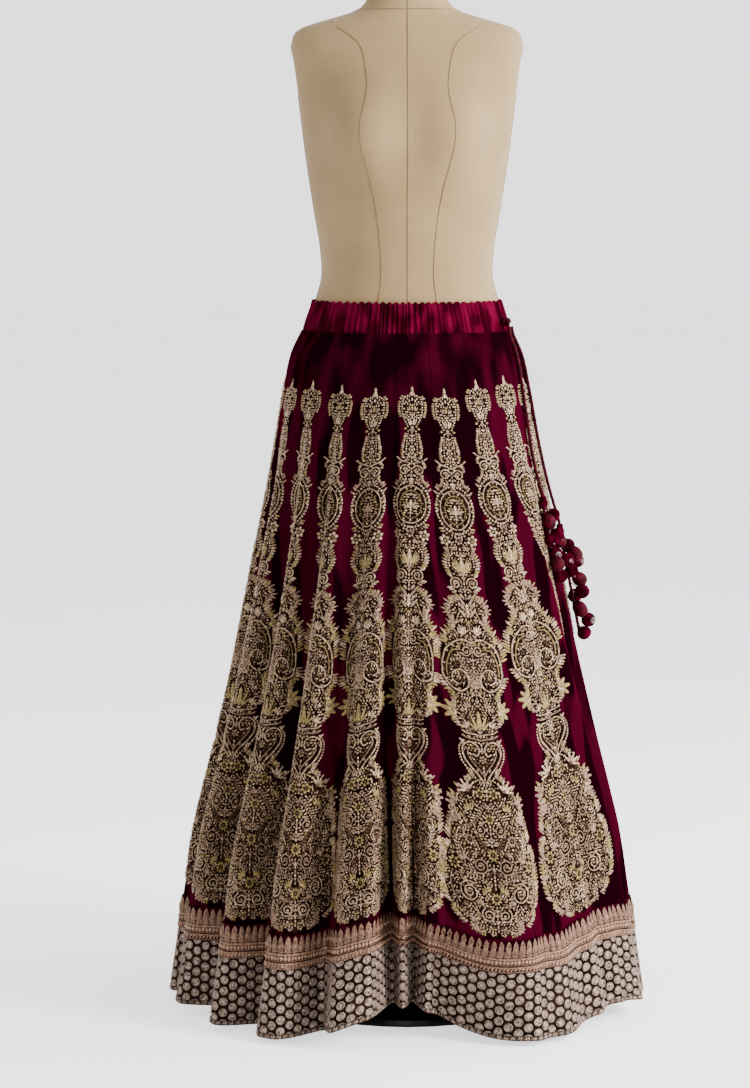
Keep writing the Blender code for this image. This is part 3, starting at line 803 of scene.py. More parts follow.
def moved(bm: Mesh, points: Array, weld: float = 0.0) -> Mesh:
    """Move a mesh's vertices, and close it.

    Args:
        bm: the mesh.
        points: each vertex's new place.
        weld: how close vertices have to be to be joined before the ends are filled, or 0 for none of either.

    Returns:
        The same mesh.
    """
    for vertex, point in zip(bm.verts, points):
        vertex.co = point
    if weld:
        bmesh.ops.remove_doubles(bm, verts=bm.verts[:], dist=weld)
        fill_rims(bm)
    bmesh.ops.recalc_face_normals(bm, faces=bm.faces[:])
    return bm


def fill_rims(bm: Mesh) -> None:
    """Fill a mesh's open ends."""
    bmesh.ops.holes_fill(bm, edges=[edge for edge in bm.edges if edge.is_boundary], sides=0)


def cloth_wall(columns: Array, rows: Array, place: Place) -> Mesh:
    """Make a closed wall of cloth; place takes a column's and a row's value and 0 inside or 1 outside."""
    grid = unit_grid(len(columns) - 1, len(rows) - 1, slab=True)
    return moved(grid.bm, place(columns[grid.column], rows[grid.row], grid.z))


def wrapped_grid(angles: int, rows: Array, place: Callable[[Array, Array], Array]) -> Mesh:
    """Make a closed body wrapped round the axis; place takes an angle in degrees and a row's value."""
    grid = unit_grid(angles, len(rows) - 1)
    return moved(grid.bm, place((grid.x + 0.5) * 360, rows[grid.row]), TINY)


def spun(profile: Sequence[Spot], steps: int) -> Mesh:
    """Turn a profile about the pole's axis.

    Args:
        profile: its points (radius, height).
        steps: how many faces go round.

    Returns:
        The turned mesh.
    """
    bm = bmesh.new()
    verts = [bm.verts.new((r, 0, z)) for r, z in profile]
    edges = [bm.edges.new(pair) for pair in zip(verts, verts[1:])]
    bmesh.ops.spin(bm, geom=verts + edges, cent=(0, 0, 0), axis=(0, 0, 1), angle=2 * math.pi, steps=steps,
                   use_merge=True)
    bmesh.ops.remove_doubles(bm, verts=bm.verts[:], dist=TINY)
    bmesh.ops.recalc_face_normals(bm, faces=bm.faces[:])
    return bm


def rope(points: Array, radius: float, sides: int, plies: int = 0, twist: float = 0.0) -> Mesh:
    """Make a closed tube along points, with an optional lay of plies.

    Args:
        points: the centreline.
        radius: the tube's radius.
        sides: points round each ring.
        plies: strands that show round the tube, or 0 for a plain one.
        twist: turns of the lay for each metre.

    Returns:
        The tube's mesh.
    """
    ahead = np.gradient(points, axis=0)
    ahead /= np.linalg.norm(ahead, axis=1, keepdims=True)
    side = np.cross(ahead, ROPE_ASIDE)
    side /= np.linalg.norm(side, axis=1, keepdims=True)
    up = np.cross(side, ahead)
    grid = unit_grid(sides, len(points) - 1)
    theta = (grid.x + 0.5) * 2 * math.pi
    size = np.full(len(grid.row), radius)
    if plies:
        lay = theta + 2 * math.pi * twist * run_along(points)[grid.row]
        size = size * (1 - PLY_GROOVE + PLY_GROOVE * np.abs(np.cos(plies / 2 * lay)))
    round_it = np.cos(theta)[:, None] * side[grid.row] + np.sin(theta)[:, None] * up[grid.row]
    return moved(grid.bm, points[grid.row] + size[:, None] * round_it, TINY / 10)


def joined(parts: Sequence[Mesh]) -> Mesh:
    """Put several meshes in one.

    Args:
        parts: the meshes, which are freed.

    Returns:
        The whole.
    """
    whole = bmesh.new()
    for part in parts:
        mesh = bpy.data.meshes.new("part")
        part.to_mesh(mesh)
        part.free()
        whole.from_mesh(mesh)
        bpy.data.meshes.remove(mesh)
    return whole


# ---- Raised work ----
class Stamp(NamedTuple):
    """A small raised form: points in a unit box, z up to 1, and triangles."""

    points: Array
    faces: Array


def read_stamp(bm: Mesh) -> Stamp:
    """Read a bmesh as a stamp, and free it.

    Args:
        bm: the mesh.

    Returns:
        The stamp.
    """
    bmesh.ops.triangulate(bm, faces=bm.faces[:])
    bm.verts.index_update()
    points = np.array([vertex.co for vertex in bm.verts])
    faces = np.array([[vertex.index for vertex in face.verts] for face in bm.faces])
    bm.free()
    return Stamp(points, faces)


def disc(sides: int, radius: float = 0.5) -> Mesh:
    """Make a flat disc."""
    bm = bmesh.new()
    bmesh.ops.create_circle(bm, cap_ends=True, segments=sides, radius=radius)
    return bm


def domed(bm: Mesh, crown: tuple[float, float, float] = (0, 0, 1)) -> Stamp:
    """Raise a disc's middle to its crown, and read it as a stamp."""
    bmesh.ops.poke(bm, faces=bm.faces[:])["verts"][0].co = crown
    return read_stamp(bm)


def leaf_stamp(sides: int) -> Stamp:
    """Shape a pointed leaf, rooted at y = 0 with its tip at y = 1.

    Args:
        sides: how many sides it has.

    Returns:
        The leaf.
    """
    bm = disc(sides)
    for vertex in bm.verts:
        along = vertex.co.y + 0.5
        vertex.co = (vertex.co.x * (1.18 - 0.42 * along), along, 0)
    return domed(bm, (0, 0.44, 1))


def coin_rim_stamp() -> Stamp:
    """Shape a coin's wire rim, a unit across: a raised ring that is open in its middle.

    Returns:
        The rim.
    """
    bm = disc(10)
    for width, rise in ((0.06, 1.0), (0.08, -0.6)):
        face = max(bm.faces, key=lambda f: len(f.verts))
        bmesh.ops.inset_individual(bm, faces=[face], thickness=width, depth=0)
        face = max(bm.faces, key=lambda f: len(f.verts))
        bmesh.ops.translate(bm, verts=face.verts[:], vec=(0, 0, rise))
    bmesh.ops.delete(bm, geom=[face], context="FACES_ONLY")
    return read_stamp(bm)


def coin_face_stamp() -> Stamp:
    """Shape a coin's sunk face, a unit across: low rays round a raised boss.

    Returns:
        The face.
    """
    bm = disc(16, 0.36)
    for index, vertex in enumerate(bm.verts):
        vertex.co.z = 0.42 if index % 2 else 0.18
    return domed(bm, (0, 0, 0.78))


LEAF, SEED, BEAD = leaf_stamp(8), leaf_stamp(6), domed(disc(6))
COIN_RIM, COIN_FACE = coin_rim_stamp(), coin_face_stamp()


class Tone(IntEnum):
    """Which thread a piece of raised work is made of."""

    PALE = 0
    BRIGHT = 1
    YELLOW = 2
    COPPER = 3
    # The dark padding tone: painted shade in the gaps between the stitches, and painted shadow lines.
    PADDING_SHADE = 4


PALE, BRIGHT, YELLOW, COPPER, PADDING_SHADE = Tone
THREADS = (PALE_THREAD, BRIGHT_THREAD, YELLOW_THREAD, COPPER_THREAD, PADDING_AND_GAP_SHADE)
STAMP_LIFT = 0.25


class RaisedWork:
    """Stamps and cords laid out flat: x across, y down, z proud of the cloth, in millimetres."""

    def __init__(self) -> None:
        """Start with nothing laid down."""
        self.points: list[Array] = []
        self.faces: list[Array] = []
        self.tones: list[Array] = []
        self.taken: list[Array] = []
        self.count = 0

    def add(self, points: Array, faces: Array, tone: Tone) -> None:
        """Add points and triangles in one thread.

        Args:
            points: the points.
            faces: the triangles, counted from the first of these points.
            tone: the thread.
        """
        self.points.append(points)
        self.faces.append(faces + self.count)
        self.tones.append(np.full(len(faces), int(tone)))
        self.count += len(points)

    def stamp(
        self, stamp: Stamp, at: Array, lean: Array, length: Array, width: Array, height: Array, tone: Tone
    ) -> None:
        """Lay copies of a stamp.

        Args:
            stamp: the form to repeat.
            at: each copy's place (x, y).
            lean: each copy's lean in degrees from straight up, growing clockwise.
            length: each copy's size along its lean.
            width: each copy's size across it.
            height: each copy's rise.
            tone: the thread.
        """
        at = np.atleast_2d(np.asarray(at, float))
        n = len(at)
        lean, *sizes = (np.broadcast_to(value, n)[:, None] for value in (lean, width, length, height))
        x, y, z = (stamp.points[None, :, axis] * size for axis, size in enumerate(sizes))
        lean = np.radians(lean)
        across = at[:, :1] + x * np.cos(lean) + y * np.sin(lean)
        down = at[:, 1:] + x * np.sin(lean) - y * np.cos(lean)
        faces = stamp.faces[None] + (np.arange(n) * len(stamp.points))[:, None, None]
        self.add(np.stack([across, down, z + STAMP_LIFT], axis=-1).reshape(-1, 3), faces.reshape(-1, 3), tone)

    def bead(self, at: Array, size: Array, height: float, tone: Tone) -> None:
        """Lay round beads."""
        self.stamp(BEAD, at, 0, size, size, height, tone)

    def stroke(self, path: Array, width: float, height: float, tone: Tone) -> None:
        """Lay a tapering strip along a path.

        Args:
            path: its line (x, y).
            width: its width.
            height: its rise.
            tone: its thread.
        """
        grid = unit_grid(2, len(path) - 1)
        ahead = np.gradient(path, axis=0)
        ahead /= np.linalg.norm(ahead, axis=1, keepdims=True)
        side = np.stack([-ahead[:, 1], ahead[:, 0]], axis=1)
        taper = np.sin(np.pi * np.clip((np.arange(len(path)) + 1) / (len(path) + 1), 0.12, 0.88)) ** 0.4
        flat = path[grid.row] + side[grid.row] * (grid.x * width * taper[grid.row])[:, None]
        rise = np.where(np.abs(grid.x) < 0.1, height, 0.2)
        self.add(np.column_stack([flat, rise]), read_stamp(grid.bm).faces, tone)

    def take(self, at: Array, radius: float) -> None:
        """Keep the filling off round patches."""
        at = np.atleast_2d(np.asarray(at, float))
        self.taken.append(np.column_stack([at, np.full(len(at), radius)]))

    def free(self, at: Array, size: float) -> Array:
        """Tell which places nothing has taken.

        Args:
            at: the places.
            size: how much room each needs.

        Returns:
            Whether each is free.
        """
        taken = np.concatenate(self.taken)
        apart = np.linalg.norm(at[:, None, :] - taken[None, :, :2], axis=-1)
        return np.all(apart > taken[None, :, 2] + size / 2, axis=1)

    def mirror(self) -> None:
        """Repeat everything on the other side of x = 0."""
        points, faces, tones = (np.concatenate(part) for part in (self.points, self.faces, self.tones))
        self.points, self.faces = [points, points * (-1, 1, 1)], [faces, faces[:, ::-1] + len(points)]
        self.tones, self.count = [tones, tones], 2 * len(points)

    def include(self, other: RaisedWork) -> None:
        """Add another piece of work, where it lies.

        Args:
            other: the work to add.
        """
        self.faces.extend(faces + self.count for faces in other.faces)
        self.points.extend(other.points)
        self.tones.extend(other.tones)
        self.count += other.count

    def lay(self, name: str, place: Place, finishes: Sequence[Finish]) -> Piece:
        """Lay the work on a piece of cloth.

        Args:
            name: the new piece's name.
            place: takes x, y and z in metres, and gives points.
            finishes: one for each tone.

        Returns:
            The new object.
        """
        mesh = bpy.data.meshes.new(name)
        points = place(*(np.concatenate(self.points) / 1000).T)
        mesh.from_pydata(points.tolist(), [], np.concatenate(self.faces).tolist())
        mesh.polygons.foreach_set("material_index", np.concatenate(self.tones).astype(np.int32))
        return dressed(name, mesh, finishes)


class Needlework(RaisedWork):
    """The figures that a column of metal-thread work is made of."""

    rise = 2.1
    cord = 2.1

    def fan(self, root: Spot, lean: float, spread: float, count: int, length: float, tone: Tone,
            width: float = 3.4) -> None:
        """Lay a fan of narrow leaves round one root.

        Args:
            root: where the leaves meet.
            lean: how the fan leans.
            spread: how far its outer leaves lean from its middle.
            count: how many leaves it has.
            length: the middle leaf's length.
            tone: their thread.
            width: their width.
        """
        leans = lean + np.linspace(-spread, spread, count)
        sizes = length * (1 - 0.25 * np.abs(np.linspace(-1, 1, count)))
        self.stamp(LEAF, root + heading(leans) * 2.2, leans, sizes - 1.4, width, self.rise, tone)
        self.bead([root], width * 0.9, 2.2, BRIGHT)
        for part in (0.3, 0.55, 0.85):
            self.take(root + heading(leans) * (sizes * part)[:, None], width * 0.45)

    def fern(self, path: Array, step: float, length: float, width: float, tone: Tone,
             open_deg: float = 40) -> None:
        """Lay a frond: leaves in pairs that point on along a path.

        Args:
            path: the frond's line.
            step: how far apart the pairs are.
            length: a leaf's length.
            width: its width.
            tone: its thread.
            open_deg: how far it leans from the path.
        """
        spots = spots_along(path, np.arange(step / 2, run_along(path)[-1], step))
        for side in (-open_deg, open_deg):
            self.stamp(SEED, spots, course(spots) + side, length, width, self.rise, tone)
        self.take(spots, length * 0.55)

    def couch(self, path: Array, width: float, tone: Tone) -> None:
        """Couch a twisted cord along a path: short stitches that slant across it, end to end.

        Args:
            path: the cord's line.
            width: its width.
            tone: its thread.
        """
        spots = spots_along(path, np.arange(0.8, run_along(path)[-1], 2.5))
        lean = course(spots) + 18
        self.stamp(SEED, spots - heading(lean) * 2.0, lean, 4.0, width * 1.15, 2.3, tone)
        self.take(spots, width / 2 + 0.4)

    def rosette(self, at: Spot, petals: int, radius: float, tone: Tone, heart: Tone) -> None:
        """Lay a flower: a ring of petals round a bead.

        Args:
            at: its middle.
            petals: how many petals it has.
            radius: its size.
            tone: the petals' thread.
            heart: the bead's tone.
        """
        leans = np.arange(petals) * 360 / petals + 12
        roots = at + heading(leans) * radius * 0.34
        self.stamp(LEAF, roots, leans, radius * 0.68, radius * 3.7 / petals, self.rise, tone)
        self.bead([at], radius * 0.52, 2.4, heart)
        self.take([at], radius)

    def half_daisy(self, at: Spot, lean: float, radius: float, tone: Tone) -> None:
        """Lay an opening flower: looped petals spread from a small cup.

        Args:
            at: the cup's place.
            lean: how the flower leans.
            radius: a petal's length.
            tone: the petals' thread.
        """
        for turn in np.linspace(-72, 72, 5):
            way = radius * heading(lean + turn)
            self.stamp(LEAF, [at], lean + turn, radius, radius * 0.34, self.rise, tone)
            self.bead([at + way], radius * 0.30, 1.8, BRIGHT)
            self.take([at + way * 0.66, at + way], radius * 0.18)
        self.bead([at], radius * 0.5, 2.4, COPPER)
        self.take([at], radius * 0.4)

    def beads(self, path: Array, step: float, size: float, tone: Tone) -> None:
        """Lay a row of beads along a path.

        Args:
            path: the row's line.
            step: how far apart they are.
            size: their size.
            tone: their tone.
        """
        spots = spots_along(path, np.arange(0, run_along(path)[-1], step))
        self.bead(spots, size, 1.7, tone)
        self.take(spots, size / 2)

    def scroll(self, at: Spot, outer: float, start: float, turns: float, tone: Tone) -> None:
        """Couch a cord in a spiral, with a bead at its eye.

        Args:
            at: the eye's place.
            outer: the spiral's outer radius.
            start: the angle that its outer end lies at.
            turns: how many turns it makes.
            tone: the cord's thread.
        """
        radius = np.linspace(outer, outer * 0.24, 26)
        self.couch(at + radius[:, None] * heading(start + np.linspace(0, 360 * turns, 26)), self.cord, tone)
        self.bead([at], outer * 0.3, 2.0, YELLOW)


class Edge(NamedTuple):
    """A point of the column's outline, in millimetres, and the leaves that grow there."""

    down: float
    half: float
    leaf: float
    lean: float


class Drift(NamedTuple):
    """How one gore's column differs from the others: its shift in millimetres and its room."""

    up: float
    top: float = 0.0  # across, towards the gore's far seam, down to the small scrolls
    foot: float = 0.0  # across, from the heart down
    share: float = 0.495  # how much of the gore each half of the column may cover


class Filler(NamedTuple):
    """A small leaf, or with no length a bead, that fills the ground, and the draws that choose it."""

    tone: Tone
    first: int
    last: int  # the first draw that is too high
    length: float = 0.0
    width: float = 0.0

    def recast(self, draws: Array) -> Array:
        """Turn any draws into ones that choose this filler."""
        return self.first + draws % (self.last - self.first)


DOWN, HALF, LEAF_LENGTH, LEAN = np.array([Edge(*row) for row in (
    (88, 2, 1, 10), (90, 11, 3, 30), (95, 16, 3, 55), (104, 18.5, 3, 80), (114, 18.5, 3, 95),
    (124, 15.5, 3, 115), (133, 11, 3, 120), (141, 8.5, 3, 95), (149, 9, 3, 60), (158, 11.5, 3, 50),
    (167, 13.5, 3, 70), (175, 13.5, 3, 100), (181, 12.5, 3, 60), (186, 15, 3, 60), (191, 18.5, 2.5, 70),
    (199, 18, 3, 95), (207, 15, 3, 110), (212, 15, 3, 80), (219, 21, 4, 60), (233, 27.5, 4, 75),
    (249, 30, 4, 90), (265, 28, 4, 110), (279, 20, 4, 110), (284, 18, 4.5, 60), (289, 24, 5.5, 75),
    (297, 23.5, 5.5, 100), (304, 17, 4.5, 110), (309, 17, 4.5, 60), (317, 22, 4.5, 70), (326, 23.5, 4.5, 90),
    (335, 20, 4.5, 110), (341, 17, 4.5, 80), (350, 23, 4, 85), (358, 20, 4, 110), (364, 12, 4, 120),
    (368, 8.5, 4, 60), (374, 13, 7, 50), (382, 24, 11, 58), (390, 28, 10, 75), (398, 24, 7, 95),
    (406, 21, 6, 70), (414, 24, 7, 60), (422, 32, 10, 55), (430, 40, 9, 60), (442, 46, 8.5, 70),
    (458, 50, 9, 80), (474, 51, 9, 90), (489, 48, 8, 105), (500, 39, 7, 120), (507, 32, 6, 125),
    (512, 31, 6, 70), (519, 33, 6, 70), (529, 34, 6, 88), (540, 32, 6, 110), (548, 29, 5, 110),
    (554, 25, 0, 90), (566, 25, 0, 90), (571, 27, 4, 70), (585, 29.5, 4, 90), (600, 26, 4, 110),
    (612, 18, 4, 115), (618, 15, 5, 50), (625, 27, 6, 50), (634, 39, 7, 60), (644, 42, 7, 85),
    (651, 50, 8, 60), (662, 51, 7, 85), (670, 48, 7, 60), (684, 54, 8, 50), (700, 58, 9, 48),
    (718, 63, 9, 52), (738, 69, 9, 50), (760, 72, 8, 55), (780, 72, 8, 65), (796, 69, 7, 85),
    (810, 60, 7, 105), (821, 46, 7, 130), (829, 26, 6, 140), (835, 9, 4, 160), (838, 2, 0, 170),
)], float).T


@dataclass
class GoreColumn:
    """One gore's column of metal-thread work, laid out flat and mirrored about its middle."""

    seed: int = 7
    pitch: float = 4.6
    filled: tuple[float, float] = (88, 836)  # from and to, down the column
    row_share: float = 0.84  # the rows' distance in pitches
    bright_above: float = 215  # higher up than this, every filling leaf is bright
    copper_middle: float = 467  # round here, the paisleys are filled with copper
    copper_half: float = 27
    copper_from: float = 11  # across
    lean_middle: float = 20  # how the filling leans in degrees, and how far that swings and scatters
    lean_swing: float = 70
    lean_scatter: float = 35
    drifts: dict[int, Drift] = field(default_factory=lambda: {
        0: Drift(0, -6, -7, 0.53), 1: Drift(12, -7, -3, 0.52), 2: Drift(15, -7, -2, 0.18),
        3: Drift(14, -7, 3, 0.30), 17: Drift(5), 18: Drift(0), 19: Drift(1),
    })
    usual_drift: Drift = Drift(9)
    bare_below: float = 2.2  # edge leaves shorter than this are left out
    seeds_below: float = 3.6  # shorter ones are single seeds
    rows_below: float = 5.2  # and these stand in rows, without sprays and blooms
    fillers: tuple[Filler, ...] = (
        Filler(PALE, 0, 7, 5.6, 2.9), Filler(BRIGHT, 7, 11, 5.2, 2.8), Filler(COPPER, 11, 14, 5.2, 2.8),
        Filler(YELLOW, 14, 16, 5.6, 3.0), Filler(BRIGHT, 16, 19), Filler(PALE, 19, 20),
    )
    bead_size: float = 3.2

    def half_width(self, down: Array) -> Array:
        """Give the column's half width at a distance down, without its edge leaves."""
        return np.interp(down, DOWN, HALF)

    def full_half(self, down: Array) -> Array:
        """Give the half width with the edge leaves."""
        return self.half_width(down) + np.interp(down, DOWN, LEAF_LENGTH) + 1.0

    def upper_figures(self, work: Needlework) -> None:
        """Lay the figures from the bud to the sprigs over the paisleys, on the right half only.

        Args:
            work: what they are laid on.
        """
        work.fan((0.9, 137), 16, 8, 2, 19, BRIGHT, 3.6)
        work.fan((3.2, 116), 18, 12, 2, 13, PALE)
        work.beads(curve((3, 90), (11, 94), (14.2, 104), (14, 115), (10.8, 126), (6, 136)), 3.8, 3.3, BRIGHT)
        work.beads(curve((5.4, 143), (7.4, 160), (7.8, 178)), 3.7, 3.1, BRIGHT)
        work.couch(curve((0.5, 190.5), (7, 188), (14, 186), (22.5, 180)), 2.2, BRIGHT)
        work.scroll((9.6, 199.5), 7.8, -70, 1.5, BRIGHT)
        outer, inner, cord = ((0, 249) + heading(np.linspace(4, 176, 40)) * size
                              for size in ((27.5, 33), (15, 20), (21.5, 27)))
        work.beads(outer, 4.5, 3.9, BRIGHT)
        work.beads(inner, 3.4, 2.8, YELLOW)
        work.couch(cord, 2.0, BRIGHT)
        work.fan((0.8, 257), 26, 22, 3, 15, PALE)
        work.rosette((20, 292), 6, 8.5, BRIGHT, YELLOW)
        work.fan((1.6, 338), 26, 22, 4, 25, YELLOW, 4.0)
        work.beads(curve((5, 308), (14, 311), (18.5, 320), (18, 331)), 3.9, 3.3, BRIGHT)
        work.scroll((12.6, 351), 9.0, -95, 1.6, BRIGHT)
        for down, length in ((373, 11), (381.5, 16), (390, 19), (399, 20)):
            work.stamp(LEAF, [(2.2, down)], 38, length, 4.6, work.rise, PALE)
            reach = length * np.array((0.2, 0.5, 0.8))
            work.take(np.stack([2.6 + reach * 0.67, down - reach * 0.74], axis=1), 1.8)
        work.fan((22, 412), 14, 40, 4, 19, PALE)
        work.fan((7, 424), 30, 30, 5, 19, BRIGHT)
        work.fan((33, 437), 52, 26, 4, 17, YELLOW)

    def middle_figures(self, work: Needlework) -> None:
        """Lay the facing paisleys, the leaf fans and the heart, on the right half only.

        Args:
            work: what they are laid on.
        """
        work.couch(curve((0.8, 433), (12, 429), (28, 436), (41, 450), (47, 467), (45, 484), (35, 497),
                         (21, 501), (10, 492), (11, 478), (21, 471), (31, 476), (32, 488), (23, 492)),
                   2.7, BRIGHT)
        work.couch(curve((18, 443), (29, 446), (37, 457), (41, 470), (39, 483)), 2.0, YELLOW)
        work.scroll((8.8, 444), 7.6, 120, 1.5, BRIGHT)
        work.fern(curve((1.5, 492), (8, 474), (22, 453)), 4.6, 7.2, 3.1, PALE)
        work.fan((1.4, 500), 8, 20, 3, 20, PALE)
        work.beads(curve((3, 505), (12, 510), (24, 509)), 4.0, 3.4, BRIGHT)
        work.fan((34, 531), 84, 80, 5, 20, YELLOW, 7.0)
        work.fan((1.6, 556), 24, 22, 3, 26, YELLOW, 4.4)
        work.fan((13, 526), 20, 34, 4, 14, PALE)
        work.fan((15, 552), 42, 34, 4, 15, BRIGHT)
        for down, tone in ((558, BRIGHT), (564.5, PALE)):
            work.couch(curve((0.5, down + 3), (7, down + 1.5), (21, down), (27, down - 3)), 2.3, tone)
        work.couch(curve((1.4, 626), (9, 615), (20, 603), (28, 589), (27, 577), (17, 570.5), (7.5, 574),
                         (4, 582), (8, 589), (14, 587)), 2.6, BRIGHT)
        work.couch(curve((1.2, 615), (8, 606), (16, 597), (21, 587), (19.5, 579)), 2.0, PALE)
        work.beads(curve((11, 622), (22, 610), (32, 594), (32, 578), (25, 569.5)), 3.9, 3.3, BRIGHT)

    def lower_figures(self, work: Needlework) -> None:
        """Lay the flowers, scrolls and sprays of the broad foot, on the right half only.

        Args:
            work: what they are laid on.
        """
        work.half_daisy((27, 638), 34, 14, BRIGHT)
        work.half_daisy((46, 660), 56, 13, PALE)
        work.rosette((10, 641), 6, 7.5, YELLOW, COPPER)
        work.rosette((31, 706), 10, 9, PALE, COPPER)
        work.rosette((57, 744), 8, 9.5, YELLOW, COPPER)
        work.scroll((19, 740), 11.5, 150, 1.7, PALE)
        work.scroll((37, 779), 15, -30, 1.9, BRIGHT)
        work.scroll((12, 807), 10, 30, 1.6, BRIGHT)
        work.scroll((14, 690), 8.5, 60, 1.5, PALE)
        work.fern(curve((1, 833), (12, 829), (29, 820), (46, 808)), 4.4, 5.0, 2.7, PALE)
        work.fern(curve((1, 652), (9, 660), (16, 672), (25, 684), (38, 691)), 4.4, 5.4, 2.8, PALE)
        work.couch(curve((52, 797), (61, 786), (64, 772), (62, 760)), 2.1, PALE)
        work.fern(curve((4, 770), (12, 762), (24, 757), (40, 757)), 4.4, 5.6, 2.9, PALE)
        work.fern(curve((46, 736), (50, 720), (47, 704)), 4.4, 5.6, 2.9, BRIGHT)
        work.fern(curve((3, 720), (12, 714), (18, 702)), 4.4, 5.4, 2.9, COPPER)
        for at, lean, length, tone in (
            ((43, 686), 40, 18, PALE), ((41, 738), 30, 15, PALE), ((26, 668), 20, 15, YELLOW),
            ((10, 778), 30, 14, YELLOW), ((30, 815), 130, 12, PALE), ((56, 806), 120, 12, YELLOW),
            ((24, 796), -10, 11, PALE), ((60, 724), 50, 12, BRIGHT),
        ):
            work.fan(at, lean, 46, 5, length, tone)

    def border(self, work: Needlework, rng: np.random.Generator) -> None:
        """Lay the right edge: feathered rows, sprays and small blooms that take turns all the way down.

        Args:
            work: what it is laid on.
            rng: the random draws.
        """
        run = run_along(np.stack([HALF, DOWN], axis=1))
        at, kind, left = 1.0, "row", 4
        while at < run[-1]:
            half, down, leaf, lean = (float(np.interp(at, run, values))
                                      for values in (HALF, DOWN, LEAF_LENGTH, LEAN))
            lean += rng.uniform(-7, 7)
            way = heading(lean)
            root = (half, down) - way * 2.2
            if leaf < self.bare_below or root[0] < 1.0 or not work.free(root[None], 0.4)[0]:
                at += 2.4
                continue
            tone = (BRIGHT, PALE, PALE, YELLOW)[int(rng.integers(0, 4))]
            if leaf < self.seeds_below:
                work.stamp(BEAD, root + way * 2.4, lean, 5.0, 3.6, work.rise, tone)
                at += 3.4
            elif leaf < self.rows_below or (kind == "row" and left > 0):
                work.stamp(LEAF, [root], lean - 12, leaf + 4.0, 3.0 + 0.09 * leaf, work.rise, tone)
                work.take(root, 1.4)
                at, left = at + 3.5 + 0.09 * leaf, left - 1
            elif kind == "spray":
                work.fan(root, lean, 64, 5, leaf + 3.2, tone, 3.0)
                at, left = at + 0.75 * leaf + 2.4, left - 1
            else:
                heart, turns = root + way * 4.2, np.arange(5) * 72 + lean
                work.stamp(BEAD, heart + heading(turns) * 2.9, turns, 4.0, 3.0, work.rise, tone)
                work.bead(heart, 2.2, 2.6, COPPER)
                at, left = at + 6.6, left - 1
            if left <= 0:
                kind = ("row", "spray", "bloom", "row", "spray")[int(rng.integers(0, 5))]
                long_row = int(rng.integers(3, 6))
                left = long_row if kind == "row" else 1

    def spine(self, work: Needlework) -> Needlework:
        """Lay what stands on the column's middle line, which isn't mirrored, round what work has taken.

        Args:
            work: the work beside it.

        Returns:
            The middle line's own work.
        """
        middle = Needlework()
        middle.taken = work.taken
        for down, length, width, tone in (
            (93, 16, 4.4, BRIGHT), (114, 12, 4.0, YELLOW), (257, 17, 6, BRIGHT), (337, 27, 6, BRIGHT),
            (400, 24, 5.5, BRIGHT), (556, 32, 7.5, YELLOW),
        ):
            middle.stamp(LEAF, [(0, down)], 0, length, width, middle.rise, tone)
            middle.take([(0, down - length * part) for part in (0.15, 0.4, 0.65, 0.85)], width * 0.35)
        for down, radius, petals, tone, heart in (
            (291, 6.5, 6, PALE, COPPER), (594, 6, 6, PALE, YELLOW), (675, 8, 8, YELLOW, COPPER),
            (724, 9, 10, YELLOW, COPPER), (784, 9, 10, YELLOW, COPPER),
        ):
            middle.rosette((0, down), petals, radius, tone, heart)
        for down in np.arange(99, 834, 5.3):
            if middle.free(np.array([(0, down - 2.4)]), 1.6)[0]:
                middle.stamp(LEAF, [(0, down)], 0, 5.4, 3.2, middle.rise, PALE if down % 2 < 1 else BRIGHT)
                middle.take([(0, down - 2.4)], 1.2)
        return middle

    def filling(self, work: Needlework, rng: np.random.Generator) -> None:
        """Fill what is left with small leaves, curls and beads, with the dark padding between them as painted
        shade.

        Args:
            work: what it is laid on.
            rng: the random draws.
        """
        spots, kinds = [], []
        for index, down in enumerate(np.arange(*self.filled, self.pitch * self.row_share)):
            half = float(self.half_width(down)) - 1.0
            first = 1.9 + (index % 2) * self.pitch / 2
            spots.append(level_row(np.arange(first, max(half, 2.0), self.pitch), down))
            kinds.append(rng.integers(0, self.fillers[-1].last, len(spots[-1])))
        at, kind = np.concatenate(spots), np.concatenate(kinds)
        at = at + rng.uniform(-0.9, 0.9, at.shape)
        keep = work.free(at, 1.5) & (at[:, 0] > 1.4)
        pale, bright, copper, *_ = self.fillers
        at, kind = at[keep], np.where(at[:, 1] < self.bright_above, bright.recast(kind), kind)[keep]
        paisley = (np.abs(at[:, 1] - self.copper_middle) < self.copper_half) & (at[:, 0] > self.copper_from)
        kind = np.where(paisley & (kind < pale.last), copper.recast(kind), kind)
        swing = np.sin(at[:, 1] * 0.055 + at[:, 0] * 0.10)
        scatter = rng.uniform(-self.lean_scatter, self.lean_scatter, len(at))
        flow, size = self.lean_middle + self.lean_swing * swing + scatter, rng.uniform(0.82, 1.18, len(at))
        for filler in self.fillers:
            chosen = (kind >= filler.first) & (kind < filler.last)
            if not filler.length:
                work.bead(at[chosen], self.bead_size * size[chosen], 2.1, filler.tone)
                continue
            lean, long = flow[chosen], filler.length * size[chosen]
            start = at[chosen] - heading(lean) * long[:, None] / 2
            work.stamp(SEED, start, lean, long, filler.width * size[chosen], work.rise * 0.9, filler.tone)

    def ground(self, work: Needlework) -> None:
        """Lay the dark padding cloth that the metal thread is worked over, made dark as painted shade in the
        gaps between the stitches.

        Args:
            work: what it is laid on.
        """
        down = np.linspace(DOWN[0] + 1, DOWN[-1], 102)
        grid = unit_grid(14, len(down) - 1)
        rise = np.where(np.abs(grid.x) > 0.47, -0.1, 0.55)
        flat = (grid.x * 2 * self.half_width(down)[grid.row], down[grid.row], rise)
        work.add(np.column_stack(flat), read_stamp(grid.bm).faces, PADDING_SHADE)

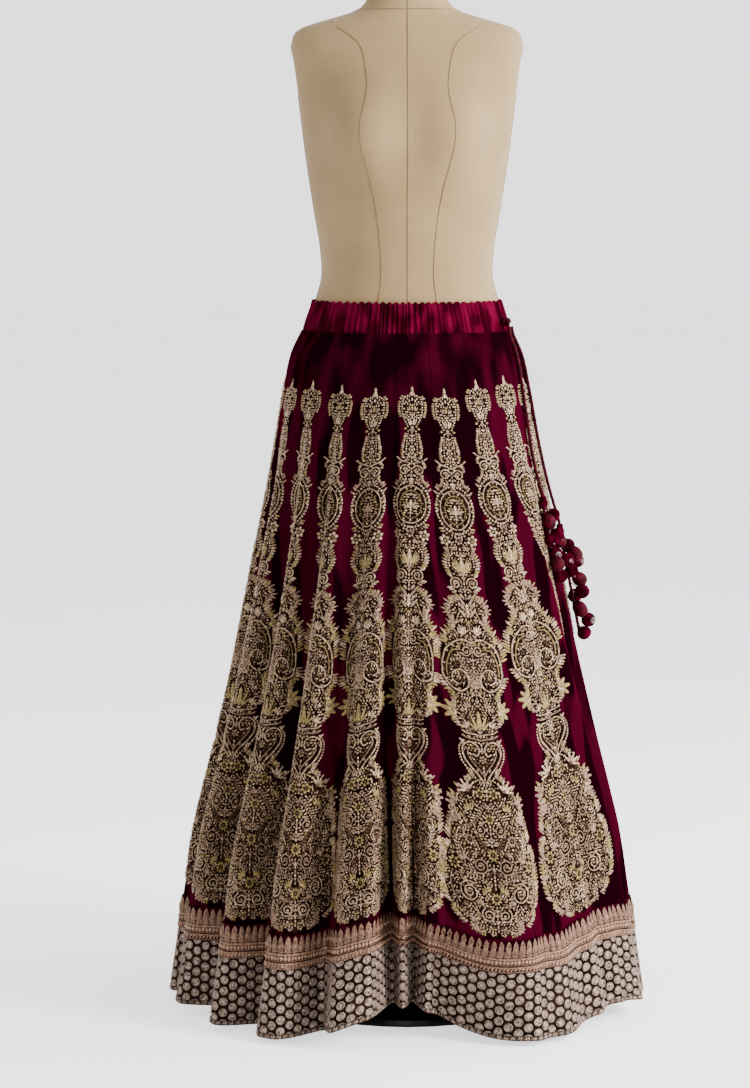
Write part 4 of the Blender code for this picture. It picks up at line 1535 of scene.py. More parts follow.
    def flat(self) -> Needlework:
        """Lay out the whole column.

        Returns:
            The work, ready to be laid on each gore.
        """
        work = Needlework()
        rng = np.random.default_rng(self.seed)
        for figures in (self.upper_figures, self.middle_figures, self.lower_figures):
            figures(work)
        middle = self.spine(work)
        self.border(work, rng)
        self.filling(work, rng)
        work.mirror()
        work.include(middle)
        self.ground(work)
        return work

    def lay_on(self, drape: Drape, flat: Needlework, gore: int) -> Piece:
        """Lay the column down the middle of a gore, no wider than the gore.

        Args:
            drape: how the cloth hangs.
            flat: the column's work.
            gore: the gore's number, from 0.

        Returns:
            The column.
        """
        drift = self.drifts.get(gore, self.usual_drift)

        def place(x: Array, y: Array, z: Array) -> Array:
            down = y * 1000
            up = drift.up * np.interp(down, (0, 300, 600, 840), (1.0, 1.0, 1.1, 0.2))
            t = (down - up) / 1000 / SKIRT_DROP
            width = drape.gore_width(gore, t)
            room = width * np.interp(down, (230, 380), (self.usual_drift.share, drift.share))
            fit = np.minimum(1, room / (self.full_half(down) / 1000))
            aside = np.interp(down, (350, 560), (drift.top, drift.foot)) / 1000
            return drape.hang((gore + 0.5 + (x * fit + aside) / width) / KALI_COUNT, t, z)

        return flat.lay(f"zardozi_column_{gore + 1:02d}", place, THREADS)


# ---- Laying pieces on the frame ----
def settle(piece: Piece, slot: str, *nodes: str) -> Piece:
    """Let a piece ride with the object and stand for CAD nodes, which it hides.

    Args:
        piece: the finished piece.
        slot: the record's material slot; not used.
        nodes: the CAD nodes that it replaces.

    Returns:
        The piece.
    """
    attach(piece, "root")
    if nodes:
        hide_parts(*nodes)
    LOG.info("%s: %d faces", piece.name, len(piece.data.polygons))
    return piece


@dataclass
class VelvetGores:
    """The twenty wedge-shaped gores and the columns of raised work down their middles."""

    drape: Drape
    columns: int = 20
    rows: int = 80
    embroidery: GoreColumn = field(default_factory=GoreColumn)

    def gore(self, index: int) -> Piece:
        """Hang one gore between its two seams.

        Args:
            index: the gore's number, from 0.

        Returns:
            The gore.
        """
        low, high = index / KALI_COUNT, (index + 1) / KALI_COUNT
        half_gap = SEAM_GAP / 2

        def place(s: Array, t: Array, layer: Array) -> Array:
            inset = half_gap / self.drape.girth(t)
            s = np.clip(s, low + inset, high - inset)
            t = np.clip(t, half_gap / SKIRT_DROP, BORDER_TOP - half_gap / SKIRT_DROP)
            return self.drape.hang(s, t, (layer - 1) * CLOTH)

        across, down = np.linspace(low, high, self.columns + 1), np.linspace(0, BORDER_TOP, self.rows + 1)
        bm = cloth_wall(across, down, place)
        return finished(f"velvet_gore_{index + 1:02d}", bm, GORE_VELVET, 50)

    def build(self) -> None:
        """Build every gore and its column."""
        flat = self.embroidery.flat()
        for index in range(KALI_COUNT):
            gore = settle(self.gore(index), "wine_velvet", f"kali_{index + 1:02d}")
            column = settle(self.embroidery.lay_on(self.drape, flat, index), "zardozi_border")
            widths = self.drape.gore_width(index, np.linspace(0, BORDER_TOP, 60))
            length = self.drape.slope((index + 0.5) / KALI_COUNT, 0, BORDER_TOP)


class Trim(NamedTuple):
    """A strip of trimming that runs round the skirt in four lengths."""

    cloth: str
    worked: str
    node: str
    slot: str
    top: float
    bottom: float
    height: float
    inner: float
    outer: float
    levels: Array
    ground: Finish
    threads: tuple[Finish, ...]


BORDER = Trim(
    "border_cloth", "border_coins", "hem_border", "zardozi_border",
    BORDER_TOP, 1, BORDER_HEIGHT, -BORDER_CLOTH, 0,
    np.linspace(BORDER_TOP + SEAM_GAP / 2 / SKIRT_DROP, 1, 9), BORDER_GROUND,
    (COIN_RIM_WIRE, COIN_RIM_WIRE, COPPER_THREAD, COIN_FACE_WIRE),
)
RIBBON = Trim(
    "ribbon_cloth", "ribbon_leaves", "leaf_band", "leaf_ribbon", BAND_TOP, BORDER_TOP, BAND_HEIGHT, BAND_LIFT,
    BAND_LIFT + BAND_CLOTH, np.linspace(BAND_TOP, BORDER_TOP, 5), RIBBON_GROUND,
    (RIBBON_LEAF, RIBBON_CORD, RIBBON_WEAVE, COPPER_THREAD, PADDING_AND_GAP_SHADE),
)


@dataclass
class HemTrims:
    """The coin border along the hem and the leaf-edged ribbon above it, each in four lengths."""

    drape: Drape
    columns: int = 110
    coin_pitch: float = 15.5
    coin_size: float = 13.0
    coin_rise: float = 1.9
    piping: float = 7.0
    spike_pitch: float = 10.1
    spike_height: float = 24.0
    plate_top: float = 15.5

    def strip_length(self, trim: Trim) -> float:
        """Give one length of a strip in metres."""
        return float(self.drape.girth((trim.top + trim.bottom) / 2)) / STRIP_COUNT

    def wall(self, trim: Trim, strip: int) -> Piece:
        """Hang a quarter of a strip's cloth.

        Args:
            trim: the strip.
            strip: the quarter's number, from 0.

        Returns:
            The cloth.
        """
        low, high = strip / STRIP_COUNT, (strip + 1) / STRIP_COUNT

        def place(s: Array, t: Array, layer: Array) -> Array:
            inset = SEAM_GAP / 2 / self.drape.girth(t)
            s = np.clip(s, low + inset, high - inset)
            return self.drape.hang(s, t, trim.inner + layer * (trim.outer - trim.inner))

        bm = cloth_wall(np.linspace(low, high, self.columns + 1), trim.levels, place)
        return finished(f"{trim.cloth}_{strip + 1}", bm, trim.ground, 50)

    def place_on(self, trim: Trim, strip: int) -> Place:
        """Find the way from a strip laid flat to the skirt.

        Args:
            trim: the strip.
            strip: the quarter's number, from 0.

        Returns:
            What takes x along it and y down from its top edge to points.
        """
        length, low = self.strip_length(trim), strip / STRIP_COUNT
        start, end = self.drape.edges[-1][[strip * GORES_PER_STRIP, (strip + 1) * GORES_PER_STRIP]]

        def place(x: Array, y: Array, z: Array) -> Array:
            reach = start + x / length * (end - start)
            thread = low + self.drape.hem_thread(reach) - self.drape.hem_thread(start)
            level = trim.top + y / trim.height * (trim.bottom - trim.top)
            return self.drape.hang(thread, level, z + trim.outer)

        return place

    def coins(self) -> RaisedWork:
        """Lay out one length's coins in upright rows, cut off straight at its edges, and the piping below.

        Returns:
            The work.
        """
        work = RaisedWork()
        length, height = 1000 * self.strip_length(BORDER), 1000 * BORDER_HEIGHT
        count = 2 * round(length / self.coin_pitch / math.sqrt(3))
        pitch, foot = length / count, height - self.piping
        for row in range(count):
            y = np.arange(-7 + self.coin_pitch / 2 * (row % 2), foot + 5, self.coin_pitch)
            spots = level_row(y, (row + 0.5) * pitch)[:, ::-1]
            for stamp, tone in ((COIN_RIM, PALE), (COIN_FACE, COPPER)):
                work.stamp(stamp, spots, 0, self.coin_size, self.coin_size, self.coin_rise, tone)
        for points in work.points:
            points[:, 1] = np.clip(points[:, 1], 0.4, foot)
        x = np.arange(1.6, length - 1, 3.1)
        for part, tone in enumerate((BRIGHT, COPPER, YELLOW)):
            work.stamp(SEED, level_row(x[part::3], height - 0.4), 12, self.piping - 0.4, 3.3, 2.0, tone)
        return work

    def leaves(self) -> RaisedWork:
        """Lay out one length's upright leaves, and the beads, stitches and cords of the band below them.

        Returns:
            The work.
        """
        work = RaisedWork()
        length, depth = 1000 * self.strip_length(RIBBON), 1000 * BAND_HEIGHT
        count = round(length / self.spike_pitch)
        pitch = length / count
        root = level_row((np.arange(count) + 0.5) * pitch, self.spike_height + 7)
        line = np.linspace(0.2, length - 0.2, int(length / 6))
        work.stroke(level_row(line, (self.plate_top + depth) / 2), depth - self.plate_top, 0.5, YELLOW)
        work.stamp(LEAF, root, 0, self.spike_height + 6.2, pitch * 0.98, 2.2, PALE)
        for lean in (-7, 7):
            work.stamp(SEED, root - (0, 9), lean, 13.5, pitch * 0.20, 2.7, BRIGHT)
        work.stamp(BEAD, root - (pitch / 2, 10), 0, 4.2, 2.0, 1.4, PADDING_SHADE)
        # The dark line at 25 mm, just under the spikes, is a painted shadow of the cord, in the padding's
        # dark tone.
        for y, width, tone in (
            (25.0, 1.6, PADDING_SHADE), (27.6, 2.4, BRIGHT), (38.2, 1.5, PADDING_SHADE), (40.2, 1.8, BRIGHT),
            (46.7, 2.4, PALE),
        ):
            work.stroke(level_row(line, y), width, 1.4, tone)
        x = np.arange(2, length - 1, pitch / 2)
        for stamp, shift, y, lean, long, wide, rise, tone in (
            (BEAD, 0, 32.6, 0, 6.4, 4.2, 1.9, BRIGHT), (BEAD, pitch / 4, 35.4, 0, 2.2, 2.6, 0.9, PADDING_SHADE),
            (BEAD, pitch / 4, 29.9, 0, 1.8, 2.0, 0.9, PADDING_SHADE), (SEED, 0, 45.6, 30, 5.2, 2.8, 1.7, BRIGHT),
        ):
            work.stamp(stamp, level_row(x + shift, y), lean, long, wide, rise, tone)
        return work

    def build(self) -> None:
        """Build the border and the ribbon."""
        strips = ((BORDER, self.coins()), (RIBBON, self.leaves()))
        for strip in range(STRIP_COUNT):
            for trim, work in strips:
                cloth = settle(self.wall(trim, strip), trim.slot, f"{trim.node}_{strip + 1}")
                name = f"{trim.worked}_{strip + 1}"
                worked = settle(work.lay(name, self.place_on(trim, strip), trim.threads), trim.slot)
                size = (round(self.strip_length(trim), 3), trim.height)


# ---- The dress form and what is worn at its waist ----
class Section(NamedTuple):
    """The form's sizes at a height."""

    height: float
    half_width: float
    front: float
    back: float


FORM = tuple(Section(*row) for row in (
    (0.770, 0.150, 0.104, 0.110), (0.778, 0.163, 0.115, 0.122), (0.800, 0.169, 0.120, 0.128),
    (0.860, 0.171, 0.121, 0.130), (0.930, 0.161, 0.114, 0.121), (0.9935, 0.1465, 0.1095, 0.1095),
    (1.0365, 0.1335, 0.1000, 0.1000), (1.070, 0.1245, 0.0930, 0.0930), (1.110, 0.1260, 0.0940, 0.0940),
    (1.160, 0.134, 0.099, 0.099), (1.210, 0.142, 0.104, 0.103), (1.260, 0.149, 0.106, 0.106),
    (1.310, 0.155, 0.102, 0.107), (1.350, 0.160, 0.092, 0.105), (1.385, 0.165, 0.080, 0.096),
    (1.408, 0.168, 0.068, 0.084), (1.434, 0.145, 0.055, 0.066), (1.444, 0.110, 0.052, 0.061),
    (1.453, 0.080, 0.050, 0.057), (1.476, 0.056, 0.046, 0.050), (1.528, 0.052, 0.045, 0.046),
))
BUST_HEIGHT = 1.272
BUST_SPREAD_DEG = 27.0
BUST_HALF_ANGLE = 42.0
BUST_FALL = 0.062
BUST_DEPTH = 0.034


def form_radius(angle: Array, height: Array) -> Array:
    """Measure the dress form.

    Args:
        angle: the angle in degrees.
        height: the height.

    Returns:
        Its radius there.
    """
    heights, *sizes = zip(*FORM)
    wide, front, back = (through_rows(height, heights, size) for size in sizes)
    plain = oval(angle, wide, np.where(np.cos(np.radians(angle)) > 0, front, back))
    fall = np.exp(-(((height - BUST_HEIGHT) / BUST_FALL) ** 2))
    cups = bell(angle - BUST_SPREAD_DEG, BUST_HALF_ANGLE) + bell(angle + BUST_SPREAD_DEG, BUST_HALF_ANGLE)
    return plain + BUST_DEPTH * fall * cups


@dataclass
class LinenForm:
    """The limbless dress form: a linen-covered body with its seams, and the turned neck cap."""

    around_it: int = 120
    rows: int = 110
    seam_radius: float = 0.0008
    neck_seam: float = 1.4555
    seam_ends: tuple[float, float] = (0.775, 1.527)
    seam_steps: int = 70
    cap_height: float = 0.012
    middle_seams: tuple[float, ...] = (0, 180)  # their angles
    side_seams: tuple[tuple[Spot, ...], ...] = (  # one side's, as (height, angle)
        ((0.775, 29), (0.95, 27), (1.08, 23), (1.20, 26), (1.28, 28), (1.36, 34), (1.412, 52), (1.438, 75)),
        ((0.775, 150), (0.95, 153), (1.08, 157), (1.20, 152), (1.30, 146), (1.36, 140), (1.412, 122),
         (1.438, 104)),
        ((0.775, 90), (0.95, 90), (1.08, 90), (1.20, 90), (1.335, 90)),
    )

    def body(self) -> Piece:
        """Make the covered body.

        Returns:
            The body.
        """
        heights = FORM[0].height + (FORM[-1].height - FORM[0].height) * np.linspace(0, 1, self.rows + 1)
        bm = wrapped_grid(self.around_it, heights, lambda angle, z: around(form_radius(angle, z), angle, z))
        return finished("linen_body", bm, LINEN, 60)

    def seam(self, angle: Array, height: Array) -> Mesh:
        """Make one felled seam that lies on the form."""
        return rope(around(form_radius(angle, height), angle, height), self.seam_radius, 6)

    def seams(self) -> Piece:
        """Make the seams down the body and the one round its neck.

        Returns:
            The seams.
        """
        down = np.linspace(*self.seam_ends, self.seam_steps)
        tubes = [self.seam(np.full(self.seam_steps, float(angle)), down) for angle in self.middle_seams]
        for knots in self.side_seams:
            heights, angles = zip(*knots)
            height = np.linspace(heights[0], heights[-1], self.seam_steps)
            for side in (1, -1):
                tubes.append(self.seam(side * through_rows(height, heights, angles), height))
        tubes.append(self.seam(np.linspace(0, 360, 73), np.full(73, self.neck_seam)))
        return finished("linen_body_seams", joined(tubes), LINEN_SEAM)

    def cap(self) -> Piece:
        """Turn the wooden neck cap.

        Returns:
            The cap.
        """
        low = FORM[-1].height + SEAM_GAP
        high = low + self.cap_height
        profile = [(0, high), (0.012, high), (0.028, high - 0.0003), (0.034, high - 0.0012),
                   (0.0378, high - 0.0028), (0.0396, high - 0.0048), (0.0404, high - 0.0068),
                   (0.0402, low + 0.0020), (0.0396, low + 0.0004), (0.0390, low), (0, low)]
        return finished("turned_neck_cap", spun(profile, 72), CAP_WOOD, 60)

    def build(self, nodes: dict[str, Piece]) -> None:
        """Build the form, and finish the stand's own nodes.

        Args:
            nodes: the CAD nodes by name.
        """
        settle(self.body(), "form_linen", "form_torso")
        settle(self.seams(), "form_linen")
        settle(self.cap(), "cap_wood", "form_neck_cap")
        for name in ("form_collar", "stand_pole", "stand_base"):
            materials = nodes[name].data.materials
            for slot in range(len(materials)):
                materials[slot] = STAND_ENAMEL.material()


@dataclass
class WaistCasing:
    """The gathered drawstring casing round the waist, open at its slit."""

    gathers: int = 90
    depth: float = 0.0040
    clear: float = 0.0006
    ripples: int = 151
    ripple: float = 0.00045
    per_gather: int = 12
    slit_half: float = 0.7
    rows: int = 12
    overlap: float = 0.0018
    frill: float = 0.0013
    frill_from: float = 0.80  # its foot, and below it the stitching, as shares of the way up
    stitching: float = 0.78
    stitching_width: float = 0.035
    ruffle: float = 0.0016

    def gather(self, angle: Array) -> Array:
        """Give 0 at the bottom of a gather and 1 at its crest."""
        drift = 2.4 * wave(3 * angle + 20) + 1.4 * wave(7 * angle + 75) + 0.9 * wave(19 * angle)
        return 0.5 - 0.5 * np.cos(np.radians((angle + drift + 0.5 * wave(41 * angle + 30)) * self.gathers))

    def place(self, angle: Array, rise: Array, layer: Array) -> Array:
        """Give points of the casing.

        Args:
            angle: the angle in degrees.
            rise: 0 at its seam and 1 at its top edge.
            layer: 0 on its inner face and 1 on its outer one.

        Returns:
            The points.
        """
        uneven = 0.78 + 0.22 * wave(11 * angle + 40) * wave(5 * angle)
        ripple = self.ripple * wave((angle + 0.8 * wave(9 * angle)) * self.ripples + 200 * rise)
        frill = np.clip((rise - self.frill_from) / (1 - self.frill_from), 0, 1) ** 2
        stitched = np.exp(-(((rise - self.stitching) / self.stitching_width) ** 2))
        stitched += 0.8 * np.exp(-((rise / 0.04) ** 2))
        depth = self.depth * (1 - 0.3 * rise) * uneven * self.gather(angle) * (1 - 0.35 * stitched)
        out = self.clear + depth + (ripple + 0.0005) * (0.6 + 0.8 * rise)
        out += self.frill * frill * self.gather(angle + 1.2)
        height = WAIST_HEIGHT + SEAM_GAP / 2 + rise * CASING_HEIGHT - self.overlap * (1 - rise) ** 12
        ruffle = self.ruffle * frill * wave(angle * 67 + 60 * wave(4 * angle))
        cloth = layer * CASING_CLOTH * (1 - 0.3 * frill)
        radius = form_radius(angle, WAIST_HEIGHT + rise * CASING_HEIGHT) + out + cloth
        return around(radius, angle, height + ruffle)

    def build(self) -> None:
        """Build the casing."""
        start, end = SLIT_ANGLE + self.slit_half, SLIT_ANGLE + 360 - self.slit_half
        columns = np.linspace(start, end, self.gathers * self.per_gather + 1)
        bm = cloth_wall(columns, np.linspace(0, 1, self.rows + 1), self.place)
        casing = settle(finished("gathered_casing", bm, CASING_VELVET, 60), "casing_velvet", "waist_casing")
        half = np.full(len(columns), 0.5)
        length = float(run_along(self.place(columns, half, half))[-1])


class Waypoint(NamedTuple):
    """A point of a cord's route down the skirt."""

    height: float
    angle_deg: float
    stand_off: float


class Ball(NamedTuple):
    """A cloth ball of a tassel, and how far out it hangs, in ball sizes."""

    angle_deg: float
    height: float
    layer: float


class Stud(NamedTuple):
    """A round stone-set button sewn to the front of a ball."""

    ball: int
    size: float


class TasselledCord(NamedTuple):
    """One free end of the drawcord, with the tassel that it runs through."""

    cord: str
    tassel: str
    route: tuple[Waypoint, ...]
    balls: tuple[Ball, ...]
    studs: tuple[Stud, ...]


FRONT_END = TasselledCord(
    "drawcord_front", "latkan_front",
    tuple(Waypoint(*row) for row in (
        (1.0005, 72.0, 0.0050), (0.985, 71.2, 0.0030), (0.955, 70.2, 0.0014), (0.910, 69.6, 0.0010),
        (0.860, 69.8, 0.0018), (0.810, 70.6, 0.0024), (0.765, 71.8, 0.0062), (0.756, 72.0, 0.0080),
    )),
    tuple(Ball(*row) for row in (
        (74.5, 0.727, 0.1), (69.0, 0.719, 0.0), (72.0, 0.699, 0.9), (66.8, 0.694, 0.0), (75.5, 0.690, 0.1),
        (70.5, 0.672, 0.2), (75.0, 0.662, 1.0), (66.5, 0.660, 0.1), (71.5, 0.640, 0.4),
    )),
    (Stud(5, 0.0052), Stud(6, 0.0035)),
)
BACK_END = TasselledCord(
    "drawcord_back", "latkan_back",
    tuple(Waypoint(*row) for row in (
        (1.0005, 74.4, 0.0050), (0.985, 75.4, 0.0030), (0.955, 76.6, 0.0014), (0.905, 78.0, 0.0010),
        (0.860, 79.4, 0.0010), (0.810, 81.0, 0.0012), (0.760, 82.4, 0.0032), (0.712, 83.6, 0.0080),
    )),
    tuple(Ball(*row) for row in (
        (86.5, 0.678, 0.2), (82.0, 0.668, 1.0), (88.0, 0.655, 1.1), (83.5, 0.642, 0.1), (87.5, 0.628, 0.9),
        (83.0, 0.612, 1.0), (88.5, 0.603, 0.1), (84.0, 0.585, 0.3), (87.0, 0.568, 1.0), (84.5, 0.550, 0.2),
    )),
    (Stud(8, 0.0052), Stud(2, 0.0034)),
)
HEAD_PROFILE = (
    (0.0030, 0.0), (0.0042, -0.0012), (0.0050, -0.0030), (0.0046, -0.0046), (0.0054, -0.0062),
    (0.0063, -0.0090), (0.0064, -0.0120), (0.0058, -0.0145), (0.0040, -0.0158),
)


def beside_skirt(angle: float, height: float, ball: float, stand_off: float) -> Array:
    """Rest a ball against the skirt, or hang it a stand-off clear of it.

    Args:
        angle: the ball's angle in degrees.
        height: its height.
        ball: its radius.
        stand_off: how far it hangs clear of the cloth.

    Returns:
        Its centre.
    """
    turn, drop = np.meshgrid(np.linspace(-8, 8, 65), np.linspace(-1, 1, 9) * ball)
    level = np.clip((WAIST_HEIGHT - height - drop) / SKIRT_DROP, 0, 1)
    radius, apart = Drape.radius(angle + turn, level), np.radians(turn)
    beside = np.hypot(radius * np.sin(apart), drop)
    reach = radius * np.cos(apart) + np.sqrt(np.clip(ball**2 - beside**2, 0, None))
    return around(np.array(reach[beside < ball].max() + stand_off), np.array(angle), np.array(height))


def smoothed(line: Array, rounds: int = 2) -> Array:
    """Halve a line's steps and round its corners, a few times.

    Args:
        line: the line's points.
        rounds: how many times.

    Returns:
        The smoother line's points.
    """
    for _ in range(rounds):
        middles = (line[1:] + line[:-1]) / 2
        finer = np.empty((2 * len(line) - 1, 3))
        finer[1::2] = middles
        finer[0], finer[-1] = line[0], line[-1]
        finer[2:-1:2] = ((middles[1:] + middles[:-1]) / 2 + line[1:-1]) / 2
        line = finer
    return line


def turned_to(centre: Sequence[float], way: Vector) -> Matrix:
    """Give what moves a form to a centre and turns its z axis to a way."""
    return Matrix.Translation(Vector(centre)) @ way.to_track_quat("Z", "Y").to_matrix().to_4x4()


@dataclass
class Drawcord:
    """The drawcord's knot, its two free ends and the tassels that they run through."""

    ends: tuple[TasselledCord, ...] = (FRONT_END, BACK_END)
    plies: int = 3
    lay: float = 0.011
    head_height: float = 0.016
    head_gap: float = 0.0008
    clear: float = 0.0028
    core_radius: float = 0.0024
    core_stand_off: float = BALL_RADIUS * 0.6
    stem_radius: float = 0.0009
    knot_size: tuple[float, float, float] = (0.013, 0.016, 0.014)
    bead_radius: float = 0.0017
    knot_steps: int = 97
    knot_radius: float = CORD_DIAMETER * 0.44
    knot_inset: float = CORD_DIAMETER * 0.42  # from the knot's faces to the middle of its cord
    puff: float = 1.06
    pleats: int = 8
    pleat_depth: float = 0.09
    foot_pinch: float = 0.10
    dent: float = 0.03
    thread_length: float = 0.014
    ball_heights: tuple[float, ...] = (1.0, 1.28, 1.08)  # taken in turn
    stones: int = 8
    stud_height: float = 0.0018

    def twisted(self, line: Array, radius: float, sides: int) -> Mesh:
        """Lay the cord's plies round a line."""
        return rope(line, radius, sides, self.plies, 1 / self.lay / self.plies)

    def route(self, end: TasselledCord, count: int = 30) -> Array:
        """Find a cord's smooth route, from the knot down to its tassel.

        Args:
            end: the cord.
            count: how many points to give.

        Returns:
            The points.
        """
        heights, angles, stand_offs = zip(*end.route[::-1])
        height = np.linspace(heights[-1], heights[0], count)
        rows = zip(through_rows(height, heights, angles), height, through_rows(height, heights, stand_offs))
        return np.array([beside_skirt(*place, CORD_DIAMETER / 2, stand_off) for *place, stand_off in rows])

    def core(self, end: TasselledCord) -> Array:
        """Find the line that a cord follows below its tassel's head.

        Args:
            end: the cord.

        Returns:
            The line's points.
        """
        last, lowest = end.route[-1], min(end.balls, key=lambda ball: ball.height)
        head_low = last.height - self.head_gap - self.head_height
        rows = zip(np.linspace(last.angle_deg, lowest.angle_deg, 7), np.linspace(head_low, lowest.height, 7))
        core = np.array([beside_skirt(*row, self.core_radius, self.core_stand_off) for row in rows])
        core[0] = (*self.route(end)[-1][:2], head_low + self.head_height / 2)
        return core

    def ball(self, centre: Array, root: Array, seed: int) -> Mesh:
        """Make a padded cloth ball, gathered where its stem enters it.

        Args:
            centre: the ball's centre.
            root: where its stem starts.
            seed: what sets it apart from the others.

        Returns:
            The ball.
        """
        bm = bmesh.new()
        bmesh.ops.create_uvsphere(bm, u_segments=24, v_segments=14, radius=BALL_RADIUS * self.puff)
        for vertex in bm.verts:
            flat = vertex.co / BALL_RADIUS
            turn = math.atan2(flat.y, flat.x)
            near_top, near_foot = max(0.0, flat.z) ** 2, max(0.0, -flat.z) ** 4
            crest = 0.5 + 0.5 * math.cos(self.pleats * turn + seed)
            pleat = 1 - self.pleat_depth * near_top * crest - self.foot_pinch * near_foot
            dent = 1 + self.dent * math.sin(2 * turn + seed) * math.cos(3 * flat.z + seed)
            vertex.co = vertex.co * pleat * dent
            vertex.co.z *= self.ball_heights[seed % len(self.ball_heights)]
        bm.transform(turned_to(centre, Vector(root - centre).normalized()))
        return bm

    def bead(self, centre: Sequence[float], radius: float) -> Mesh:
        """Make a round glass bead.

        Args:
            centre: its centre.
            radius: its radius.

        Returns:
            The bead.
        """
        bm = bmesh.new()
        bmesh.ops.create_uvsphere(bm, u_segments=12, v_segments=8, radius=radius)
        bm.transform(Matrix.Translation(Vector(centre)))
        return bm

    def stud(self, centre: Array, out: Vector, radius: float) -> list[Mesh]:
        """Make a button set with a ring of stones, facing out.

        Args:
            centre: its middle.
            out: the way that it faces.
            radius: its radius.

        Returns:
            The button and its stones.
        """
        button = bmesh.new()
        bmesh.ops.create_cone(button, cap_ends=True, segments=24, radius1=radius, radius2=radius * 0.82,
                              depth=self.stud_height)
        rim = [edge for edge in button.edges if len(edge.link_faces) == 2]
        bmesh.ops.bevel(button, geom=rim, offset=0.0003, segments=2, profile=0.5, affect="EDGES", material=-1)
        turned = turned_to(centre, out)
        button.transform(turned)
        stones = [(radius * 0.62, turn * 2 * math.pi / self.stones, 0.22) for turn in range(self.stones)]
        spots = [(Vector((ring * math.cos(turn), ring * math.sin(turn), self.stud_height / 2)), size)
                 for ring, turn, size in (*stones, (0, 0, 0.34))]
        return [button] + [self.bead(turned @ spot, radius * size) for spot, size in spots]

    def head(self, top: Sequence[float]) -> Mesh:
        """Make a tassel's pleated cloth head.

        Args:
            top: the middle of its top.

        Returns:
            The head.
        """
        head = spun(HEAD_PROFILE, 24)
        fill_rims(head)
        for vertex in head.verts:
            vertex.co.xy *= 1 + 0.05 * math.cos(12 * math.atan2(vertex.co.y, vertex.co.x))
        head.transform(Matrix.Translation(top))
        return head

    def tassel(self, end: TasselledCord) -> list[Piece]:
        """Make a tassel's head, its balls on their threads, and its beads and studs.

        Args:
            end: the cord that it hangs from.

        Returns:
            Its pieces.
        """
        core, high = self.core(end), end.route[-1].height - self.head_gap
        cloth, satin, threads, glass = [self.head((*self.route(end)[-1][:2], high))], [], [], []
        for index, ball in enumerate(end.balls):
            centre = beside_skirt(*ball[:2], BALL_RADIUS, self.clear + BALL_RADIUS * 1.2 * ball.layer)
            root_height = min(ball.height + self.thread_length, high - self.head_height)
            root = np.array([np.interp(root_height, core[::-1, 2], core[::-1, axis]) for axis in range(3)])
            (satin if index % 3 == 1 else cloth).append(self.ball(centre, root, index))
            up = (root - centre) / np.linalg.norm(root - centre)
            threads.append(rope(np.linspace(root, centre + up * BALL_RADIUS * 0.7, 6), self.stem_radius, 6))
            glass.append(self.bead(centre + up * (BALL_RADIUS + self.bead_radius * 0.5), self.bead_radius))
            glass.append(self.bead(centre - up * (BALL_RADIUS * 0.93), self.bead_radius * 0.8))
            out = Vector((centre[0] * 0.55, centre[1] * 2.2 - 0.14, 0.0)).normalized()
            for stud in end.studs:
                if stud.ball == index:
                    glass.extend(self.stud(centre + np.array(out) * BALL_RADIUS * 0.97, out, stud.size))
        parts = (("balls", cloth, TASSEL_VELVET, 180), ("satin", satin, TASSEL_SATIN, 180),
                 ("threads", threads, CORD_SATIN, 180), ("beads", glass, GLASS_BEAD, 45))
        return [finished(f"{end.tassel}_{name}", joined(made), finish, sharp_deg)
                for name, made, finish, sharp_deg in parts]

    def knot(self) -> Piece:
        """Tie the overhand knot outside the slit, fitted in its CAD node's box.

        Returns:
            The knot.
        """
        low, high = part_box("drawcord_knot")
        t = np.linspace(0, 2 * math.pi, self.knot_steps)
        deep, wide, tall = (size / 2 - self.knot_inset for size in self.knot_size)
        side, up, out = np.sin(t) + 2 * np.sin(2 * t), np.cos(t) - 2 * np.cos(2 * t), np.sin(3 * t)
        theta = math.radians(SLIT_ANGLE)
        ways = ((math.sin(theta), -math.cos(theta), 0), (math.cos(theta), math.sin(theta), 0), (0, 0, 1))
        reaches = (out * deep, side / 3 * wide, up / 3 * tall)
        reach = sum(size[:, None] * np.array(way) for size, way in zip(reaches, ways))
        line = np.array((low + high) / 2) + reach
        return finished("overhand_knot", self.twisted(line, self.knot_radius, 12), CORD_SATIN)

    def build(self) -> None:
        """Build the knot, both cords and both tassels."""
        settle(self.knot(), "satin_cord", "drawcord_knot")
        for end in self.ends:
            line = smoothed(np.concatenate([self.route(end), self.core(end)[1:]]))
            cord = finished(f"satin_{end.cord}", self.twisted(line, CORD_DIAMETER / 2, 18), CORD_SATIN)
            settle(cord, "satin_cord", end.cord)
            balls, *others = pieces = self.tassel(end)
            settle(balls, "tassel_velvet", end.tassel)
            for piece in others:
                settle(piece, "tassel_velvet")


# ---- The studio ----
class Softbox(NamedTuple):
    """A large soft lamp."""

    name: str
    place: tuple[float, float, float]
    size: float
    power: float


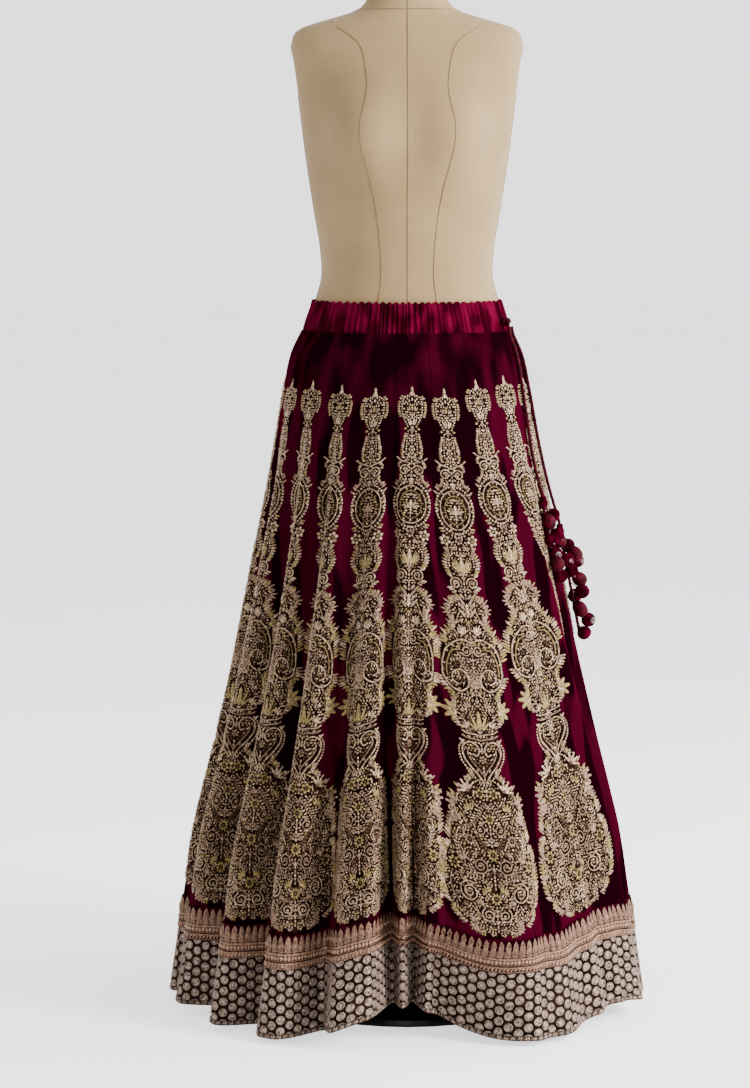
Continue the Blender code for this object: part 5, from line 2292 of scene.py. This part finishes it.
@dataclass
class Studio:
    """A pale floor, soft light and the camera."""

    eye: tuple[float, float, float] = (-0.0465, -4.8, 1.2)
    tilt_deg: float = 6.20
    focal_px: float = 3277.0
    sensor: float = 36.0
    target: tuple[float, float, float] = (0.1, 0.0, 0.7)
    room_light: float = 0.95
    backdrop: float = 2.2
    floor_size: float = 30
    lamps: tuple[Softbox, ...] = (
        Softbox("key", (3.6, -2.1, 2.6), 1.6, 450),
        Softbox("fill", (-2.8, -3.0, 1.8), 2.4, 5),
        Softbox("side_glow", (2.8, 0.9, 1.6), 1.6, 80),
        Softbox("far_glow", (-2.8, 0.9, 1.6), 1.6, 28),
    )

    def floor(self) -> None:
        """Lay a pale floor."""
        grid = unit_grid(1, 1)
        bmesh.ops.scale(grid.bm, verts=grid.bm.verts[:], vec=(self.floor_size * 2,) * 3)
        finished("studio_floor", grid.bm, STUDIO_PAPER)

    def light(self) -> None:
        """Hang the lamps and light the room evenly."""
        for lamp in self.lamps:
            data = bpy.data.lights.new(lamp.name, "AREA")
            data.shape, data.size, data.energy = "SQUARE", lamp.size, lamp.power
            made = stand(lamp.name, data)
            made.location = lamp.place
            aim = Vector(self.target) - Vector(lamp.place)
            made.rotation_euler = aim.to_track_quat("-Z", "Y").to_euler()
        room = bpy.data.worlds.new("white_room")
        room.use_nodes = True
        nodes = Nodes(room.node_tree, "Background")
        nodes.shader.inputs["Color"].default_value = linear("#ffffff")
        seen = nodes.add("LightPath").outputs["Is Camera Ray"]
        brightness = {"To Min": self.room_light, "To Max": self.backdrop}
        nodes.feed(Strength=nodes.add("MapRange", brightness, {"Value": seen}).outputs["Result"])
        bpy.context.scene.world = room

    def camera(self) -> None:
        """Set the camera up; its lens gives the focal length for a picture of the full height."""
        data = bpy.data.cameras.new("camera")
        data.sensor_width = self.sensor
        data.lens = self.focal_px * self.sensor / PICTURE_HEIGHT_PX
        made = stand("camera", data)
        made.location = self.eye
        made.rotation_euler = (math.radians(90 - self.tilt_deg), 0, 0)
        bpy.context.scene.camera = made

    def build(self) -> None:
        """Build the studio."""
        self.camera()
        self.floor()
        self.light()


def main() -> None:
    """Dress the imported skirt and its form."""
    logging.basicConfig(level=logging.INFO, format="%(message)s")
    Studio().build()
    Drawcord().build()
    drape = Drape()
    VelvetGores(drape).build()
    HemTrims(drape).build()
    WaistCasing().build()
    LinenForm().build(frame["nodes"])


if __name__ == "__main__":
    main()
